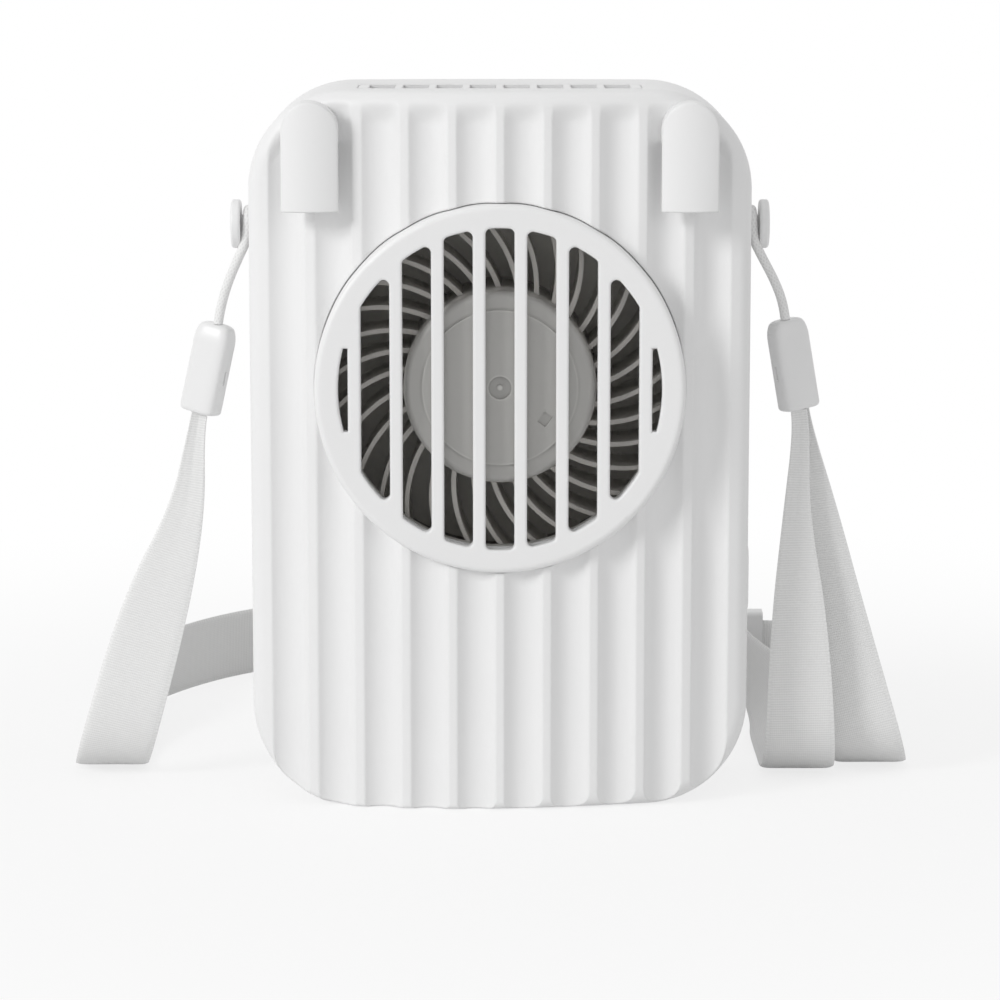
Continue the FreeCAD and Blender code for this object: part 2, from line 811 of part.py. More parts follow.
def make_rotor_cup():
    cup = rod_y(cup_radius - press_clear, 0, fan_height, cup_front, cup_back)
    cup = cup.cut(rod_y(cup_radius - press_clear - cup_wall, 0, fan_height, cup_front + cup_wall,
                        cup_back + overrun))
    return cup.cut(rod_y(shaft_radius + press_clear, 0, fan_height, cup_front - overrun, cup_front + overrun))


magnet_outer = cup_radius - cup_wall - 2 * press_clear
magnet_inner = magnet_outer - magnet_thickness
magnet_front = cup_front + cup_wall + magnet_set_back
stator_radius = magnet_inner - air_gap
stator_front = cup_front + stator_set_back
stator_back = stator_front + stator_height
shaft_front = hub_front + shaft_cover
tube_front = stator_front - motor_tube_reach
shaft_back = base_back - motor_base_thick / 2 - shaft_tail


def make_stator_core():
    """Yoke ring with T-shaped teeth."""
    yoke = ring_y(motor_tube_radius + stator_yoke, motor_tube_radius + press_clear, 0, fan_height,
                  stator_front, stator_back)
    shoes = ring_y(stator_radius, stator_radius - tooth_tip, 0, fan_height, stator_front, stator_back)
    teeth = []
    gaps = []
    slot = 2 * math.pi * stator_radius / stator_teeth / 4
    for i in range(stator_teeth):
        tooth = block(-tooth_width / 2, tooth_width / 2, stator_front, stator_back,
                      fan_height + motor_tube_radius + stator_yoke / 2,
                      fan_height + stator_radius - tooth_tip / 2)
        tooth.rotate(V(0, 0, fan_height), V(0, 1, 0), 360.0 * i / stator_teeth)
        teeth.append(tooth)
        gap = block(-slot / 2, slot / 2, stator_front - overrun, stator_back + overrun,
                    fan_height + stator_radius - 2 * tooth_tip, fan_height + stator_radius + overrun)
        gap.rotate(V(0, 0, fan_height), V(0, 1, 0), 360.0 * (i + 0.5) / stator_teeth)
        gaps.append(gap)
    return fused([yoke] + teeth + [shoes.cut(gaps)])


def make_stator_coils():
    """One winding round each tooth, as separate rounded blocks."""
    coils = []
    z0 = fan_height + motor_tube_radius + stator_yoke + fit_clear
    half = tooth_width / 2
    shoe = stator_radius - tooth_tip
    z1 = fan_height + math.sqrt(shoe ** 2 - (half + coil_growth) ** 2) - fit_clear
    for i in range(stator_teeth):
        coil = block(-half - coil_growth, half + coil_growth, stator_front - coil_growth,
                     stator_back + coil_growth, z0, z1)
        upright = [e for e in coil.Edges if abs(e.tangentAt(e.FirstParameter).z) > along_share]
        coil = coil.makeFillet(coil_growth * round_share, upright)
        coil = coil.cut(block(-half - press_clear, half + press_clear, stator_front - press_clear,
                              stator_back + press_clear, z0 - overrun, z1 + overrun))
        coil.rotate(V(0, 0, fan_height), V(0, 1, 0), 360.0 * i / stator_teeth)
        coils.append(coil)
    return Part.makeCompound(coils)


def lead_hole(y0, y1):
    """A passage for the motor leads through the duct floor and the motor base."""
    return rod_y(lead_hole_radius, 0, fan_height - lead_hole_drop, y0 - overrun, y1 + overrun)


def make_motor_board():
    """Ring-shaped board behind the stator."""
    front = stator_back + coil_growth + air_gap
    return ring_y(motor_board_radius, motor_tube_radius + press_clear, 0, fan_height, front,
                  front + motor_board_thick)


def make_motor_base():
    """Mounting disc with the bearing tube that carries the stator."""
    disc = rod_y(motor_base_radius, 0, fan_height, floor_back, base_back)
    tube = rod_y(motor_tube_radius, 0, fan_height, tube_front, base_back)
    solid = fused([disc, tube])
    cuts = [rod_y(motor_tube_bore, 0, fan_height, tube_front - overrun, shaft_back + fit_clear),
            lead_hole(floor_back, base_back)]
    for x, z in motor_screw_places():
        cuts.append(rod_y(motor_screw_radius + screw_hole_clear, x, z, floor_back - overrun,
                          base_back + overrun))
    return solid.cut(cuts)


def make_bearing(y0):
    return ring_y(motor_tube_bore - press_clear, shaft_radius + bearing_clear, 0, fan_height, y0,
                  y0 + bearing_length)


def arc_wall(cx, cz, radius, start, turn, y0, y1):
    """A curved wall: a part of a ring in XZ, clockwise from start, extruded along Y."""
    points = []
    for r in (radius, radius + scroll_wall):
        for share in (0, 0.5, 1):
            angle = math.radians(start - turn * share)
            points.append(V(cx + r * math.cos(angle), y0, cz + r * math.sin(angle)))
    edges = [
        Part.Arc(points[0], points[1], points[2]).toShape(),
        Part.LineSegment(points[2], points[5]).toShape(),
        Part.Arc(points[5], points[4], points[3]).toShape(),
        Part.LineSegment(points[3], points[0]).toShape(),
    ]
    return Part.Face(Part.Wire(edges)).extrude(V(0, y1 - y0, 0))


def make_scroll():
    """Spiral wall of tangent arcs on a floor plate, open to the outlet at the top."""
    cx = scroll_offset_x
    cz = fan_height + scroll_offset_z
    radius = scroll_radius
    start = scroll_start_angle
    walls = []
    turn = math.radians(start)
    tongue = V(cx + radius * math.cos(turn), front_y, cz + radius * math.sin(turn))
    for i in range(scroll_arcs):
        walls.append(arc_wall(cx, cz, radius, start, scroll_arc_angle, front_y, floor_back))
        start -= scroll_arc_angle
        cx -= scroll_step * math.cos(math.radians(start))
        cz -= scroll_step * math.sin(math.radians(start))
        radius += scroll_step
    radius -= scroll_step
    cx += scroll_step * math.cos(math.radians(start))
    cz += scroll_step * math.sin(math.radians(start))
    left_x = cx + radius * math.cos(math.radians(start))
    left_z = cz + radius * math.sin(math.radians(start))
    walls.append(block(left_x - scroll_wall, left_x, front_y, floor_back, left_z - scroll_wall, duct_top))
    right = [V(tongue.x, front_y, tongue.z), V(tongue.x + scroll_wall, front_y, tongue.z),
             V(duct_right_top + scroll_wall, front_y, duct_top), V(duct_right_top, front_y, duct_top)]
    walls.append(prism(right, V(0, floor_back - front_y, 0)))
    plate = rod_y(scroll_radius + scroll_arcs * scroll_step, 0, fan_height, floor_front, floor_back)
    throat = block(left_x - scroll_wall, duct_right_top + scroll_wall, floor_front, floor_back, fan_height,
                   duct_top)
    solid = fused([plate, throat] + walls).common(bowed_prism(wall_total + fit_clear))
    solid = solid.common(outline_prism(wall_total + lip_wall + 2 * fit_clear))
    cuts = [
        rod_y(motor_tube_radius + stator_yoke, 0, fan_height, floor_front - overrun, floor_back + overrun),
        rod_y(collar_radius + fit_clear, 0, fan_height, front_y - overrun, collar_back + fit_clear),
        lead_hole(floor_front, floor_back),
    ]
    for x, z in motor_screw_places():
        cuts.append(rod_y(motor_screw_radius + screw_hole_clear, x, z, floor_front - overrun,
                          floor_back + overrun))
    return solid.cut(cuts)


def screw(radius, length, head_radius, head_height, x, z, seat, way):
    """A pan-head screw along Y; way points from the head to the tip."""
    head = Part.makeCylinder(head_radius, head_height, V(x, seat, z), V(0, -way, 0))
    shank = Part.makeCylinder(radius, length, V(x, seat, z), V(0, way, 0))
    return fused([shank, head])


def make_stud(side):
    """Disc head, neck and an inner flange that the two shells trap."""
    head_in = stud_reach - stud_head_thick
    head = rod_x(stud_head_radius, parting_y, stud_height, head_in, stud_reach)
    head = head.makeFillet(stud_edge_round, [e for e in head.Edges if len(e.Vertexes) == 1])
    flange_out = inner_half - press_clear
    neck = rod_x(stud_neck_radius, parting_y, stud_height, flange_out - stud_flange_thick, head_in)
    flange = rod_x(stud_flange_radius, parting_y, stud_height, flange_out - stud_flange_thick, flange_out)
    solid = fused([neck, head, flange])
    return solid if side > 0 else solid.mirror(V(0, 0, 0), V(1, 0, 0))


def make_button():
    """Press cap with a retaining flange behind the wall and a foot towards the switch."""
    cap = pill_x(button_width, button_length, button_y, button_height, inner_half - button_flange,
                 half_width + button_proud)
    top_edges = [e for e in cap.Edges if e.BoundBox.XMin > half_width + button_proud - fit_clear]
    cap = cap.makeFillet(button_proud * round_share, top_edges)
    flange = pill_x(button_width + 2 * button_flange_rim, button_length + 2 * button_flange_rim, button_y,
                    button_height, inner_half - fit_clear - button_flange, inner_half - fit_clear)
    return fused([cap, flange])


plunger_top = inner_half - fit_clear - button_flange
switch_face = plunger_top - button_travel - 2 * fit_clear


def make_plunger():
    return rod_x(plunger_radius, button_y, button_height, plunger_top - plunger_reach, plunger_top)


def make_switch():
    body = block(switch_face - switch_height, switch_face, board_front - switch_depth, board_front,
                 button_height - switch_length / 2, button_height + switch_length / 2)
    return body.cut(rod_x(plunger_radius + fit_clear, button_y, button_height,
                          plunger_top - plunger_reach - button_travel - fit_clear, switch_face + overrun))


def make_board():
    """L-shaped board: the main field and a tab up to the switch."""
    half = board_width / 2
    tab_out = switch_face - board_tab_inset
    tab_low = button_height - board_tab_drop
    tab_top = button_height + board_tab_rise
    points = [V(-half, board_front, board_bottom), V(half, board_front, board_bottom),
              V(half, board_front, tab_low), V(tab_out, board_front, tab_low),
              V(tab_out, board_front, tab_top), V(half, board_front, tab_top),
              V(half, board_front, board_top), V(-half, board_front, board_top)]
    plate = prism(points, V(0, board_thick, 0))
    holes = [rod_y(board_screw_radius + screw_hole_clear, side * board_post_x, board_post_z,
                   board_front - overrun, board_back + overrun) for side in (-1, 1)]
    return plate.cut(holes)


def make_board_parts():
    """Driver chip, choke and indicator lamp on the front of the board."""
    chip_middle = (port_recess + port_depth + board_top) / 2
    chip = block(-chip_size / 2, chip_size / 2, board_front - chip_thick, board_front,
                 chip_middle - chip_size / 2, chip_middle + chip_size / 2)
    choke = rod_y(choke_radius, -2 * chip_size, board_top - chip_size, board_front - choke_height,
                  board_front)
    lamp = block(switch_face - switch_height, switch_face - switch_height / 2, button_y - lamp_radius,
                 board_front, lamp_height - lamp_radius, lamp_height + lamp_radius)
    return Part.makeCompound([chip, choke, lamp])


def make_port():
    """Charging receptacle: stadium shell with a tongue."""
    z0 = port_recess
    z1 = port_recess + port_depth
    shell = port_outline(0, z0, z1).cut(port_outline(-port_wall, z0 - overrun, z1 - port_wall))
    tongue = block(-port_tongue_width / 2, port_tongue_width / 2, port_y - port_tongue_thick / 2,
                   port_y + port_tongue_thick / 2, z0 + port_recess, z1 - port_wall)
    return fused([shell, tongue])


def make_battery():
    return rounded_plate(battery_width, battery_top - board_bottom, battery_corner, 0,
                         (battery_top + board_bottom) / 2, board_back + battery_front_gap, battery_back())


def rounded_path(points):
    """Straight runs joined by tangent arcs, each as large as its two runs allow."""
    edges = []
    radii = []
    start = points[0]
    for i in range(1, len(points) - 1):
        into = points[i] - points[i - 1]
        out = points[i + 1] - points[i]
        turn = into.getAngle(out)
        cut = arc_share * min(into.Length, out.Length)
        radii.append(cut / math.tan(turn / 2))
        a = points[i] - V(into).normalize() * cut
        b = points[i] + V(out).normalize() * cut
        inward = (V(out).normalize() - V(into).normalize()).normalize()
        middle = points[i] + inward * (radii[-1] / math.cos(turn / 2) - radii[-1])
        edges.append(Part.LineSegment(start, a).toShape())
        edges.append(Part.Arc(a, middle, b).toShape())
        start = b
    edges.append(Part.LineSegment(start, points[-1]).toShape())
    return edges, radii


def tube(points, radius, name):
    """A round tube along a rounded path; its volume is compared with section times length."""
    edges, radii = rounded_path(points)
    path = Part.Wire(edges)
    first = edges[0].tangentAt(edges[0].FirstParameter)
    ring = Part.Wire([Part.makeCircle(radius, points[0], first)])
    solid = path.makePipeShell([ring], True, False)
    share = solid.Volume / (math.pi * radius ** 2 * path.Length)
    print(name, "length", round(path.Length, 1), "least radius", round(min(radii), 2),
          "volume share", round(share, 4))
    return solid


def make_leads(points, count, name):
    leads = []
    for i in range(count):
        shift = V((i - (count - 1) / 2) * lead_pitch, 0, 0)
        leads.append(tube([p + shift for p in points], lead_radius, name))
    return Part.makeCompound(leads)


def ribbon_section(place, along, facing, width, thick):
    """A flat rectangle square to the ribbon's way."""
    normal = facing - along * facing.dot(along)
    normal.normalize()
    across = along.cross(normal) * (width / 2)
    half = normal * (thick / 2)
    corners = [place + across + half, place - across + half, place - across - half, place + across - half]
    return Part.makePolygon(corners + corners[:1])


def ribbon(route, name):
    """A flat ribbon: rectangles along a rounded path, joined by ruled faces.

    Each point of the route holds its place, the way the ribbon faces there, and its width and thickness.
    """
    places = [V(*r[0]) for r in route]
    edges, radii = rounded_path(places)
    stations = []
    for i, edge in enumerate(edges):
        straight = i % 2 == 0
        steps = 1 if straight else arc_steps
        for k in range(steps if i < len(edges) - 1 else steps + 1):
            share = k / steps
            u = edge.FirstParameter + share * (edge.LastParameter - edge.FirstParameter)
            before = i // 2
            at = before + 1 + arc_share * (2 * share - 1)
            if straight:
                at = before + arc_share + (1 - 2 * arc_share) * share
            if i == 0:
                at = (1 - arc_share) * share
            if i == len(edges) - 1:
                at = before + arc_share + (1 - arc_share) * share
            stations.append((edge.valueAt(u), edge.tangentAt(u).normalize(), at))
    sections = []
    length = 0
    expected = 0
    last = None
    for place, along, at in stations:
        low = min(int(at), len(route) - 2)
        share = at - low
        one = route[low]
        two = route[low + 1]
        facing = V(*one[1]) * (1 - share) + V(*two[1]) * share
        width = one[2][0] * (1 - share) + two[2][0] * share
        thick = one[2][1] * (1 - share) + two[2][1] * share
        sections.append(ribbon_section(place, along, facing, width, thick))
        area = width * thick
        if last:
            run = (place - last[0]).Length
            length += run
            expected += run * (area + last[1]) / 2
        last = (place, area)
    solid = Part.makeLoft(sections, True, True)
    print(name, "length", round(length, 1), "least radius", round(min(radii), 1),
          "volume share", round(solid.Volume / expected, 4), "valid", solid.isValid())
    return solid


def coil_radii():
    radii = [coil_eye_radius, 2 * coil_eye_radius + coil_pitch / 2]
    while len(radii) < coil_half_turns:
        radii.append(radii[-1] + coil_pitch)
    return radii


def coil_arm(offset):
    """Half turns of one arm, from the eye outwards, as arcs moved sideways by offset.

    Each half turn starts where the last ended and its centre lies on the line of the ends.
    """
    arcs = []
    x = 0.0
    up = -1
    for i, radius in enumerate(coil_radii()):
        way = 1 if i % 2 == 0 else -1
        centre = x + way * radius
        r = radius + offset
        arcs.append((V(centre - way * r, 0, 0), V(centre, up * way * r, 0), V(centre + way * r, 0, 0)))
        x = centre + way * radius
    return arcs, x


def make_coil():
    """The put-away ribbon, rolled from its middle and stood on its edge: two arms of half turns."""
    half = ribbon_thick / 2
    outer, end = coil_arm(half)
    inner, end = coil_arm(-half)
    edges = []

    def flip(p):
        return V(-p.x, -p.y, p.z)

    lead = V(0, coil_lead, 0)
    last_outer = outer[-1][2]
    last_inner = inner[-1][2]
    for arc in outer:
        edges.append(Part.Arc(*arc).toShape())
    edges.append(Part.LineSegment(last_outer, last_outer + lead).toShape())
    edges.append(Part.LineSegment(last_outer + lead, last_inner + lead).toShape())
    edges.append(Part.LineSegment(last_inner + lead, last_inner).toShape())
    for arc in reversed(inner):
        edges.append(Part.Arc(arc[2], arc[1], arc[0]).toShape())
    for arc in outer:
        edges.append(Part.Arc(flip(arc[0]), flip(arc[1]), flip(arc[2])).toShape())
    edges.append(Part.LineSegment(flip(last_outer), flip(last_outer + lead)).toShape())
    edges.append(Part.LineSegment(flip(last_outer + lead), flip(last_inner + lead)).toShape())
    edges.append(Part.LineSegment(flip(last_inner + lead), flip(last_inner)).toShape())
    for arc in reversed(inner):
        edges.append(Part.Arc(flip(arc[2]), flip(arc[1]), flip(arc[0])).toShape())
    wire = Part.Wire(Part.__sortEdges__(edges))
    solid = Part.Face(wire).extrude(V(0, 0, ribbon_width))
    solid.rotate(V(0, 0, 0), V(0, 0, 1), coil_angle)
    solid.translate(V(coil_centre_x, coil_centre_y, 0))
    length = 2 * (math.pi * sum(coil_radii()) + coil_lead)
    print("ribbon_coil length", round(length, 1), "gap to itself", round(coil_pitch - ribbon_thick, 2),
          "volume share", round(solid.Volume / (length * ribbon_width * ribbon_thick), 4), solid.isValid())
    ends = []
    for sign in (1, -1):
        p = V(sign * end, sign * coil_lead, 0)
        turn = math.radians(coil_angle)
        ends.append((p.x * math.cos(turn) - p.y * math.sin(turn) + coil_centre_x,
                     p.x * math.sin(turn) + p.y * math.cos(turn) + coil_centre_y))
    print("ribbon_coil ends", [(round(x, 2), round(y, 2)) for x, y in ends])
    return solid


def make_bearing_pair():
    return make_bearing(tube_front + fit_clear), make_bearing(shaft_back - bearing_length - fit_clear)


def make_light_pipe():
    return rod_x(lamp_radius, button_y, lamp_height, switch_face - switch_height / 2 + fit_clear,
                 half_width + fit_clear)


def end_axes(side):
    """Top of a strap end, the unit way down its length, and the unit way across it."""
    out, drop, angle = (left_end_out, left_end_drop, left_end_angle)
    if side > 0:
        out, drop, angle = (right_end_out, right_end_drop, right_end_angle)
    tilt = math.radians(angle)
    top = V(side * (half_width + out), parting_y, stud_height - drop)
    down = V(side * math.sin(tilt), 0, -math.cos(tilt))
    return top, down, V(-down.z, 0, down.x)


def end_face(width, thick, z):
    points = [V(-width / 2, -thick / 2, z), V(width / 2, -thick / 2, z), V(width / 2, thick / 2, z),
              V(-width / 2, thick / 2, z)]
    return Part.makePolygon(points + points[:1])


def make_strap_end(side):
    """A moulded end that widens downwards, with round shoulders and a slit on its inner side."""
    faces = [end_face(end_top_width, end_top_thick, 0), end_face(end_width, end_thick, -end_length)]
    body = Part.makeLoft(faces, True, True)
    body = body.makeFillet(end_round, [e for e in body.Edges if e.BoundBox.ZLength > end_length / 2])
    body = body.makeFillet(end_top_round, [e for e in body.Edges if e.BoundBox.ZMin > -fit_clear])
    foot = [e for e in body.Edges if e.BoundBox.ZMax < fit_clear - end_length]
    body = body.makeFillet(end_foot_round, foot)
    inner = -side * (end_top_width + (end_width - end_top_width) * end_slit_share) / 2
    ends = sorted((inner + side * end_slit_depth, inner - side * overrun))
    low = -end_length * end_slit_share - end_slit_length / 2
    slit = block(ends[0], ends[1], -end_slit_width / 2, end_slit_width / 2, low, low + end_slit_length)
    body = body.cut(slit)
    top, down, across = end_axes(side)
    body.rotate(V(0, 0, 0), V(0, 0, 1), side * end_twist_angle)
    body.rotate(V(0, 0, 0), V(0, 1, 0), math.degrees(math.atan2(-down.x, -down.z)))
    body.translate(top)
    return body


def make_cord_loop(side):
    """A thin cord from the strap end up, round the stud's neck and back."""
    top, down, across = end_axes(side)
    around = stud_neck_radius + cord_clear + cord_radius
    channel = half_width - flute_depth
    neck = side * (channel + stud_reach - stud_head_thick) / 2
    crown = stud_height + around
    front = top - V(0, cord_leg, 0)
    leg = [front, front - down * cord_lead]
    for climb, near, spread in zip(cord_rise_shares, cord_near_shares, cord_spread_shares):
        leg.append(V(top.x + (neck - top.x) * near, parting_y - cord_leg - (around - cord_leg) * spread,
                     top.z + (crown - top.z) * climb))
    leg.append(V(neck, parting_y - around, crown))
    back = [V(p.x, 2 * parting_y - p.y, p.z) for p in reversed(leg)]
    return tube(leg + back, cord_radius, "cord loop")


def coil_end(sign):
    """Where one arm of the coil ends, and the way it points there."""
    reach = coil_arm(0)[1]
    turn = math.radians(coil_angle)
    x = sign * (reach * math.cos(turn) - coil_lead * math.sin(turn)) + coil_centre_x
    y = sign * (reach * math.sin(turn) + coil_lead * math.cos(turn)) + coil_centre_y
    way = V(-sign * math.sin(turn), sign * math.cos(turn), 0)
    return V(x, y, edge_height), way


def level(place):
    return (place.x, place.y, place.z)


def end_run(side, offset, shift):
    """The two points where a run of ribbon leaves a strap end, square to its foot."""
    top, down, across = end_axes(side)
    foot = top + down * end_length + V(0, offset, 0) + across * shift
    places = [foot, foot + down * end_lead]
    return [(level(p), facing_front, ribbon_neck) for p in places]


def left_route():
    """From the left strap end down, along the floor and into the coil."""
    finish, way = coil_end(-1)
    near = finish + way * coil_entry_run
    side = (-way.y, way.x, 0)
    last = [(level(near), side, ribbon_full), (level(finish), side, ribbon_full)]
    return end_run(-1, 0, 0) + left_points + last


def right_route():
    """From the coil through the slider, along the floor and up behind the right strap end."""
    start, way = coil_end(1)
    rise = start + way * coil_exit_lead
    near = start + way * coil_exit_run
    near.z = slider_level
    past = near + V(slider_run, 0, 0)
    first = [
        (level(start), (way.y, -way.x, 0), ribbon_full),
        (level(rise), (way.y, -way.x, 0), ribbon_full),
        (level(near), (way.y / 2, -1, 0), ribbon_full),
        (level(past), (-way.y / 2, -1, 0), ribbon_full),
    ]
    return first + right_points + end_run(1, end_run_offset, end_run_shift)[::-1]


def return_route():
    """The second run: from the right strap end down and back to the slider."""
    finish = (slider_x, slider_y() - slider_thick / 2, slider_level)
    return end_run(1, -end_run_offset, -end_run_shift) + return_points + [(finish, (1, 0, 0), ribbon_full)]


def slider_y():
    end, way = coil_end(1)
    return (end + way * coil_exit_run).y


def make_slider():
    """A sleeve on the ribbon: one slot for the running ribbon, and a side that holds its end."""
    y = slider_y()
    low = slider_level - slider_height / 2
    body = block(slider_x - slider_length / 2, slider_x + slider_length / 2, y - slider_thick / 2,
                 y + slider_thick / 2, low, low + slider_height)
    along = [e for e in body.Edges if abs(e.tangentAt(e.FirstParameter).x) > along_share]
    body = body.makeFillet(slider_round, along)
    half = ribbon_width / 2 + slider_slot_clear
    return body.cut(block(slider_x - slider_length, slider_x + slider_length, y - slider_slot / 2,
                          y + slider_slot / 2, slider_level - half, slider_level + half))


def motor_lead_points():
    board_back_y = stator_back + coil_growth + air_gap + motor_board_thick
    behind = base_back + lead_clear
    low = battery_top + lead_clear
    high = fan_height - lead_hole_drop
    drop = high - low
    return [
        V(0, board_back_y, high),
        V(0, behind, high),
        V(lead_bow, behind + lead_bow, high - drop / 3),
        V(-lead_bow / 2, behind + lead_bow, high - 2 * drop / 3),
        V(0, behind, low),
        V(0, board_back, low),
    ]


def battery_lead_points():
    middle = (battery_back() + board_back + battery_front_gap) / 2
    high = battery_top + lead_clear + lead_bow
    return [
        V(battery_lead_x, middle, battery_top),
        V(battery_lead_x, middle, high),
        V(battery_lead_x, board_back, high),
    ]


bearings = make_bearing_pair()
case_screws = [screw(screw_radius, screw_length, screw_head_radius, screw_head_height, x, z,
                     screw_seat, -1) for x, z in boss_places()]
motor_screws = [screw(motor_screw_radius, motor_screw_length, motor_screw_head, motor_screw_head_height, x, z,
                      floor_front, 1) for x, z in motor_screw_places()]
board_screws = [screw(board_screw_radius, board_screw_length, board_screw_head, board_screw_head_height,
                      side * board_post_x, board_post_z, board_back, -1) for side in (-1, 1)]

save("front_shell", make_front_shell())
save("rear_shell", make_rear_shell())
save("intake_grille", make_grille())
save("outlet_grille", make_outlet_grille())
save("left_clip", make_clip(-clip_x))
save("right_clip", make_clip(clip_x))
save("left_stud", make_stud(-1))
save("right_stud", make_stud(1))
save("impeller", make_impeller())
save("rotor_cup", make_rotor_cup())
save("rotor_magnet", ring_y(magnet_outer, magnet_inner, 0, fan_height, magnet_front,
                            magnet_front + magnet_height))
save("motor_shaft", rod_y(shaft_radius, 0, fan_height, shaft_front, shaft_back))
save("front_bearing", bearings[0])
save("rear_bearing", bearings[1])
save("stator_core", make_stator_core())
save("stator_coils", make_stator_coils())
save("motor_board", make_motor_board())
save("motor_base", make_motor_base())
save("motor_screws", Part.makeCompound(motor_screws))
save("blower_scroll", make_scroll())
save("power_button", make_button())
save("switch_plunger", make_plunger())
save("tact_switch", make_switch())
save("light_pipe", make_light_pipe())
save("control_board", make_board())
save("board_parts", make_board_parts())
save("board_screws", Part.makeCompound(board_screws))
save("charging_port", make_port())
save("battery_cell", make_battery())
save("case_screws", Part.makeCompound(case_screws))
save("motor_leads", make_leads(motor_lead_points(), motor_lead_count, "motor lead"))
save("battery_leads", make_leads(battery_lead_points(), battery_lead_count, "battery lead"))
save("left_strap_end", make_strap_end(-1))
save("right_strap_end", make_strap_end(1))
save("left_cord_loop", make_cord_loop(-1))
save("right_cord_loop", make_cord_loop(1))
save("ribbon_left", ribbon(left_route(), "ribbon_left"))
save("ribbon_right", ribbon(right_route(), "ribbon_right"))
save("ribbon_return", ribbon(return_route(), "ribbon_return"))
save("ribbon_coil", make_coil())
save("ribbon_slider", make_slider())
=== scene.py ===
"""Looks of a neck fan: a fluted white housing with a slotted intake, a grey wheel and a woven neck ribbon."""

import math

import bpy
import numpy as np
from bpy.props import FloatProperty, FloatVectorProperty, IntProperty, PointerProperty
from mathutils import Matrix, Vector


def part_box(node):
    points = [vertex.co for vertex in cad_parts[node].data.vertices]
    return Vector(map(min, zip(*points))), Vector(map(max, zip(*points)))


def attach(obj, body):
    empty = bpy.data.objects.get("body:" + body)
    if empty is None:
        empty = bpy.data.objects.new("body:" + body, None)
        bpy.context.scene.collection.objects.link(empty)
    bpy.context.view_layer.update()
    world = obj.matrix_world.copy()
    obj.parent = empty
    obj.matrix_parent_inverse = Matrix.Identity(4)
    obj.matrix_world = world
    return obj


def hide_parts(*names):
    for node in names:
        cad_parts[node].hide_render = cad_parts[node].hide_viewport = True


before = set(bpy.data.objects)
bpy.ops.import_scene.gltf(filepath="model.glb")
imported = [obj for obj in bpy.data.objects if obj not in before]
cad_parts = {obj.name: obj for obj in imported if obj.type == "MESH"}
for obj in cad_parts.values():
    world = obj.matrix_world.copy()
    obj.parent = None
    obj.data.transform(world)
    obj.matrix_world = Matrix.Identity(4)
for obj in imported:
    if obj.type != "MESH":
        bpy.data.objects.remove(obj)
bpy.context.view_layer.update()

bl_info = {
    "name": "Neck fan looks",
    "version": (1, 0, 0),
    "blender": (4, 5, 0),
    "location": "View3D > Sidebar > Neck fan",
    "description": "Dresses the packed neck fan with surfaces, finishes, light and a camera",
    "category": "Object",
}

MM = 0.001
ROOT = "housing"

# An edge is shaded sharp past this angle
SHARP_EDGE = math.radians(40)

# How finely the surfaces are divided
SPLINE_STEPS = 10
RIBBON_COLUMNS = 25
CORD_SIDES = 20
END_SIDES = 208
END_ROWS = 150
ROUND_ROWS = 9
BAND_COLUMNS = 601
BAND_ROWS = 21
COVER_ROWS = 5

# A wave texture of scale s repeats every pi / (10 s)
WAVE_SHARE = math.pi / 10.0

# Pitches of the finer patterns in the finishes
BRAID_STRANDS = 8
SHEET_PITCH = 0.35 * MM
WIRE_PITCH = 0.3 * MM
TRACK_PITCH_ACROSS = 2.6 * MM
TRACK_PITCH_UP = 3.4 * MM

# The ribbon's weave: pitches as shares of the ribs', how much each pattern counts, and where the selvage
# begins and is full, as shares of half the width
WARP_PITCH = 0.8
LOOP_PITCH = 1.7
RIB_SHARE = 0.55
WARP_SHARE = 0.2
DRIFT_SHARE = 0.25
SELVAGE_SHARES = (0.86, 0.94)

# The wheel and the inlet round it
WHEEL_HEIGHT = float(sum(c[2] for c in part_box("impeller")) / 2)
WHEEL_REACH = 24.0 * MM
# Where the collar inside the inlet is painted shade
INLET_REACH = 24.2 * MM
INLET_FRONT = -9.5 * MM
# Where the blades begin and how deep they lie, for the painted light on them
BLADE_ROOT = 12.9 * MM
BLADE_FRONT = -6.0 * MM
BLADE_BACK = 3.0 * MM
# Painted light on the blades: how much paler they are painted towards the plate behind, and its cap
BLADE_PAINTED_LIGHT = 1.4
BLADE_PAINTED_LIGHT_CAP = 0.88

# Distance from the wheel's axis in millimetres, and the share of the hub's colour there: painted highlights
# at the rims of the dimple and the hub's step and on the nub, and painted shade on the dimple's floor
HUB_LIGHT_AND_SHADE = ((0.0, 1.35), (0.22, 1.3), (0.4, 0.9), (1.25, 0.86), (1.4, 0.72), (1.55, 1.22), (1.75, 1.0),
             (9.95, 0.98), (10.15, 1.18), (10.35, 0.94), (10.6, 1.03), (12.3, 1.03))

# The moulded strap ends
END_TOP_ROUND = 0.5 * MM
END_FOOT_ROUND = 0.6 * MM
END_THICK_SHARE = 0.7
END_CAP_SHARES = (0.02, 0.4, 0.75, 0.95)
SLIT_PLACE = 0.57
SLIT_HALF = 0.2 * MM
SLIT_SIDE_BLEND = 0.1 * MM
SLIT_END_BLEND = 0.2 * MM
SLIT_SINK = 0.5 * MM

# The stage
FLOOR_REACH = 6.0
FLOOR_DROP = 0.1 * MM
FLOOR_NEAR = 0.05
FLOOR_FAR = 0.22
FLOOR_NEAR_SHARE = 0.78
AMBIENT = 0.52

# Name, place, aim, size and power of each lamp
LAMPS = (
    ("key", (-1.2, -0.98, 0.8), (0.0, 0.0, 0.05), 0.6, 12.3),
    ("fill", (1.0, -1.2, 0.6), (0.0, 0.0, 0.05), 0.9, 1.6),
    ("top", (0.0, 0.2, 1.6), (0.0, 0.0, 0.0), 1.2, 1.5),
)

# The camera
CAMERA_LENS = 137.7
CAMERA_SENSOR = 36.0
CAMERA_NEAR = 0.01
CAMERA_PITCH = math.radians(9.5)
CAMERA_DISTANCE = 0.515
CAMERA_HEIGHT = 0.0393

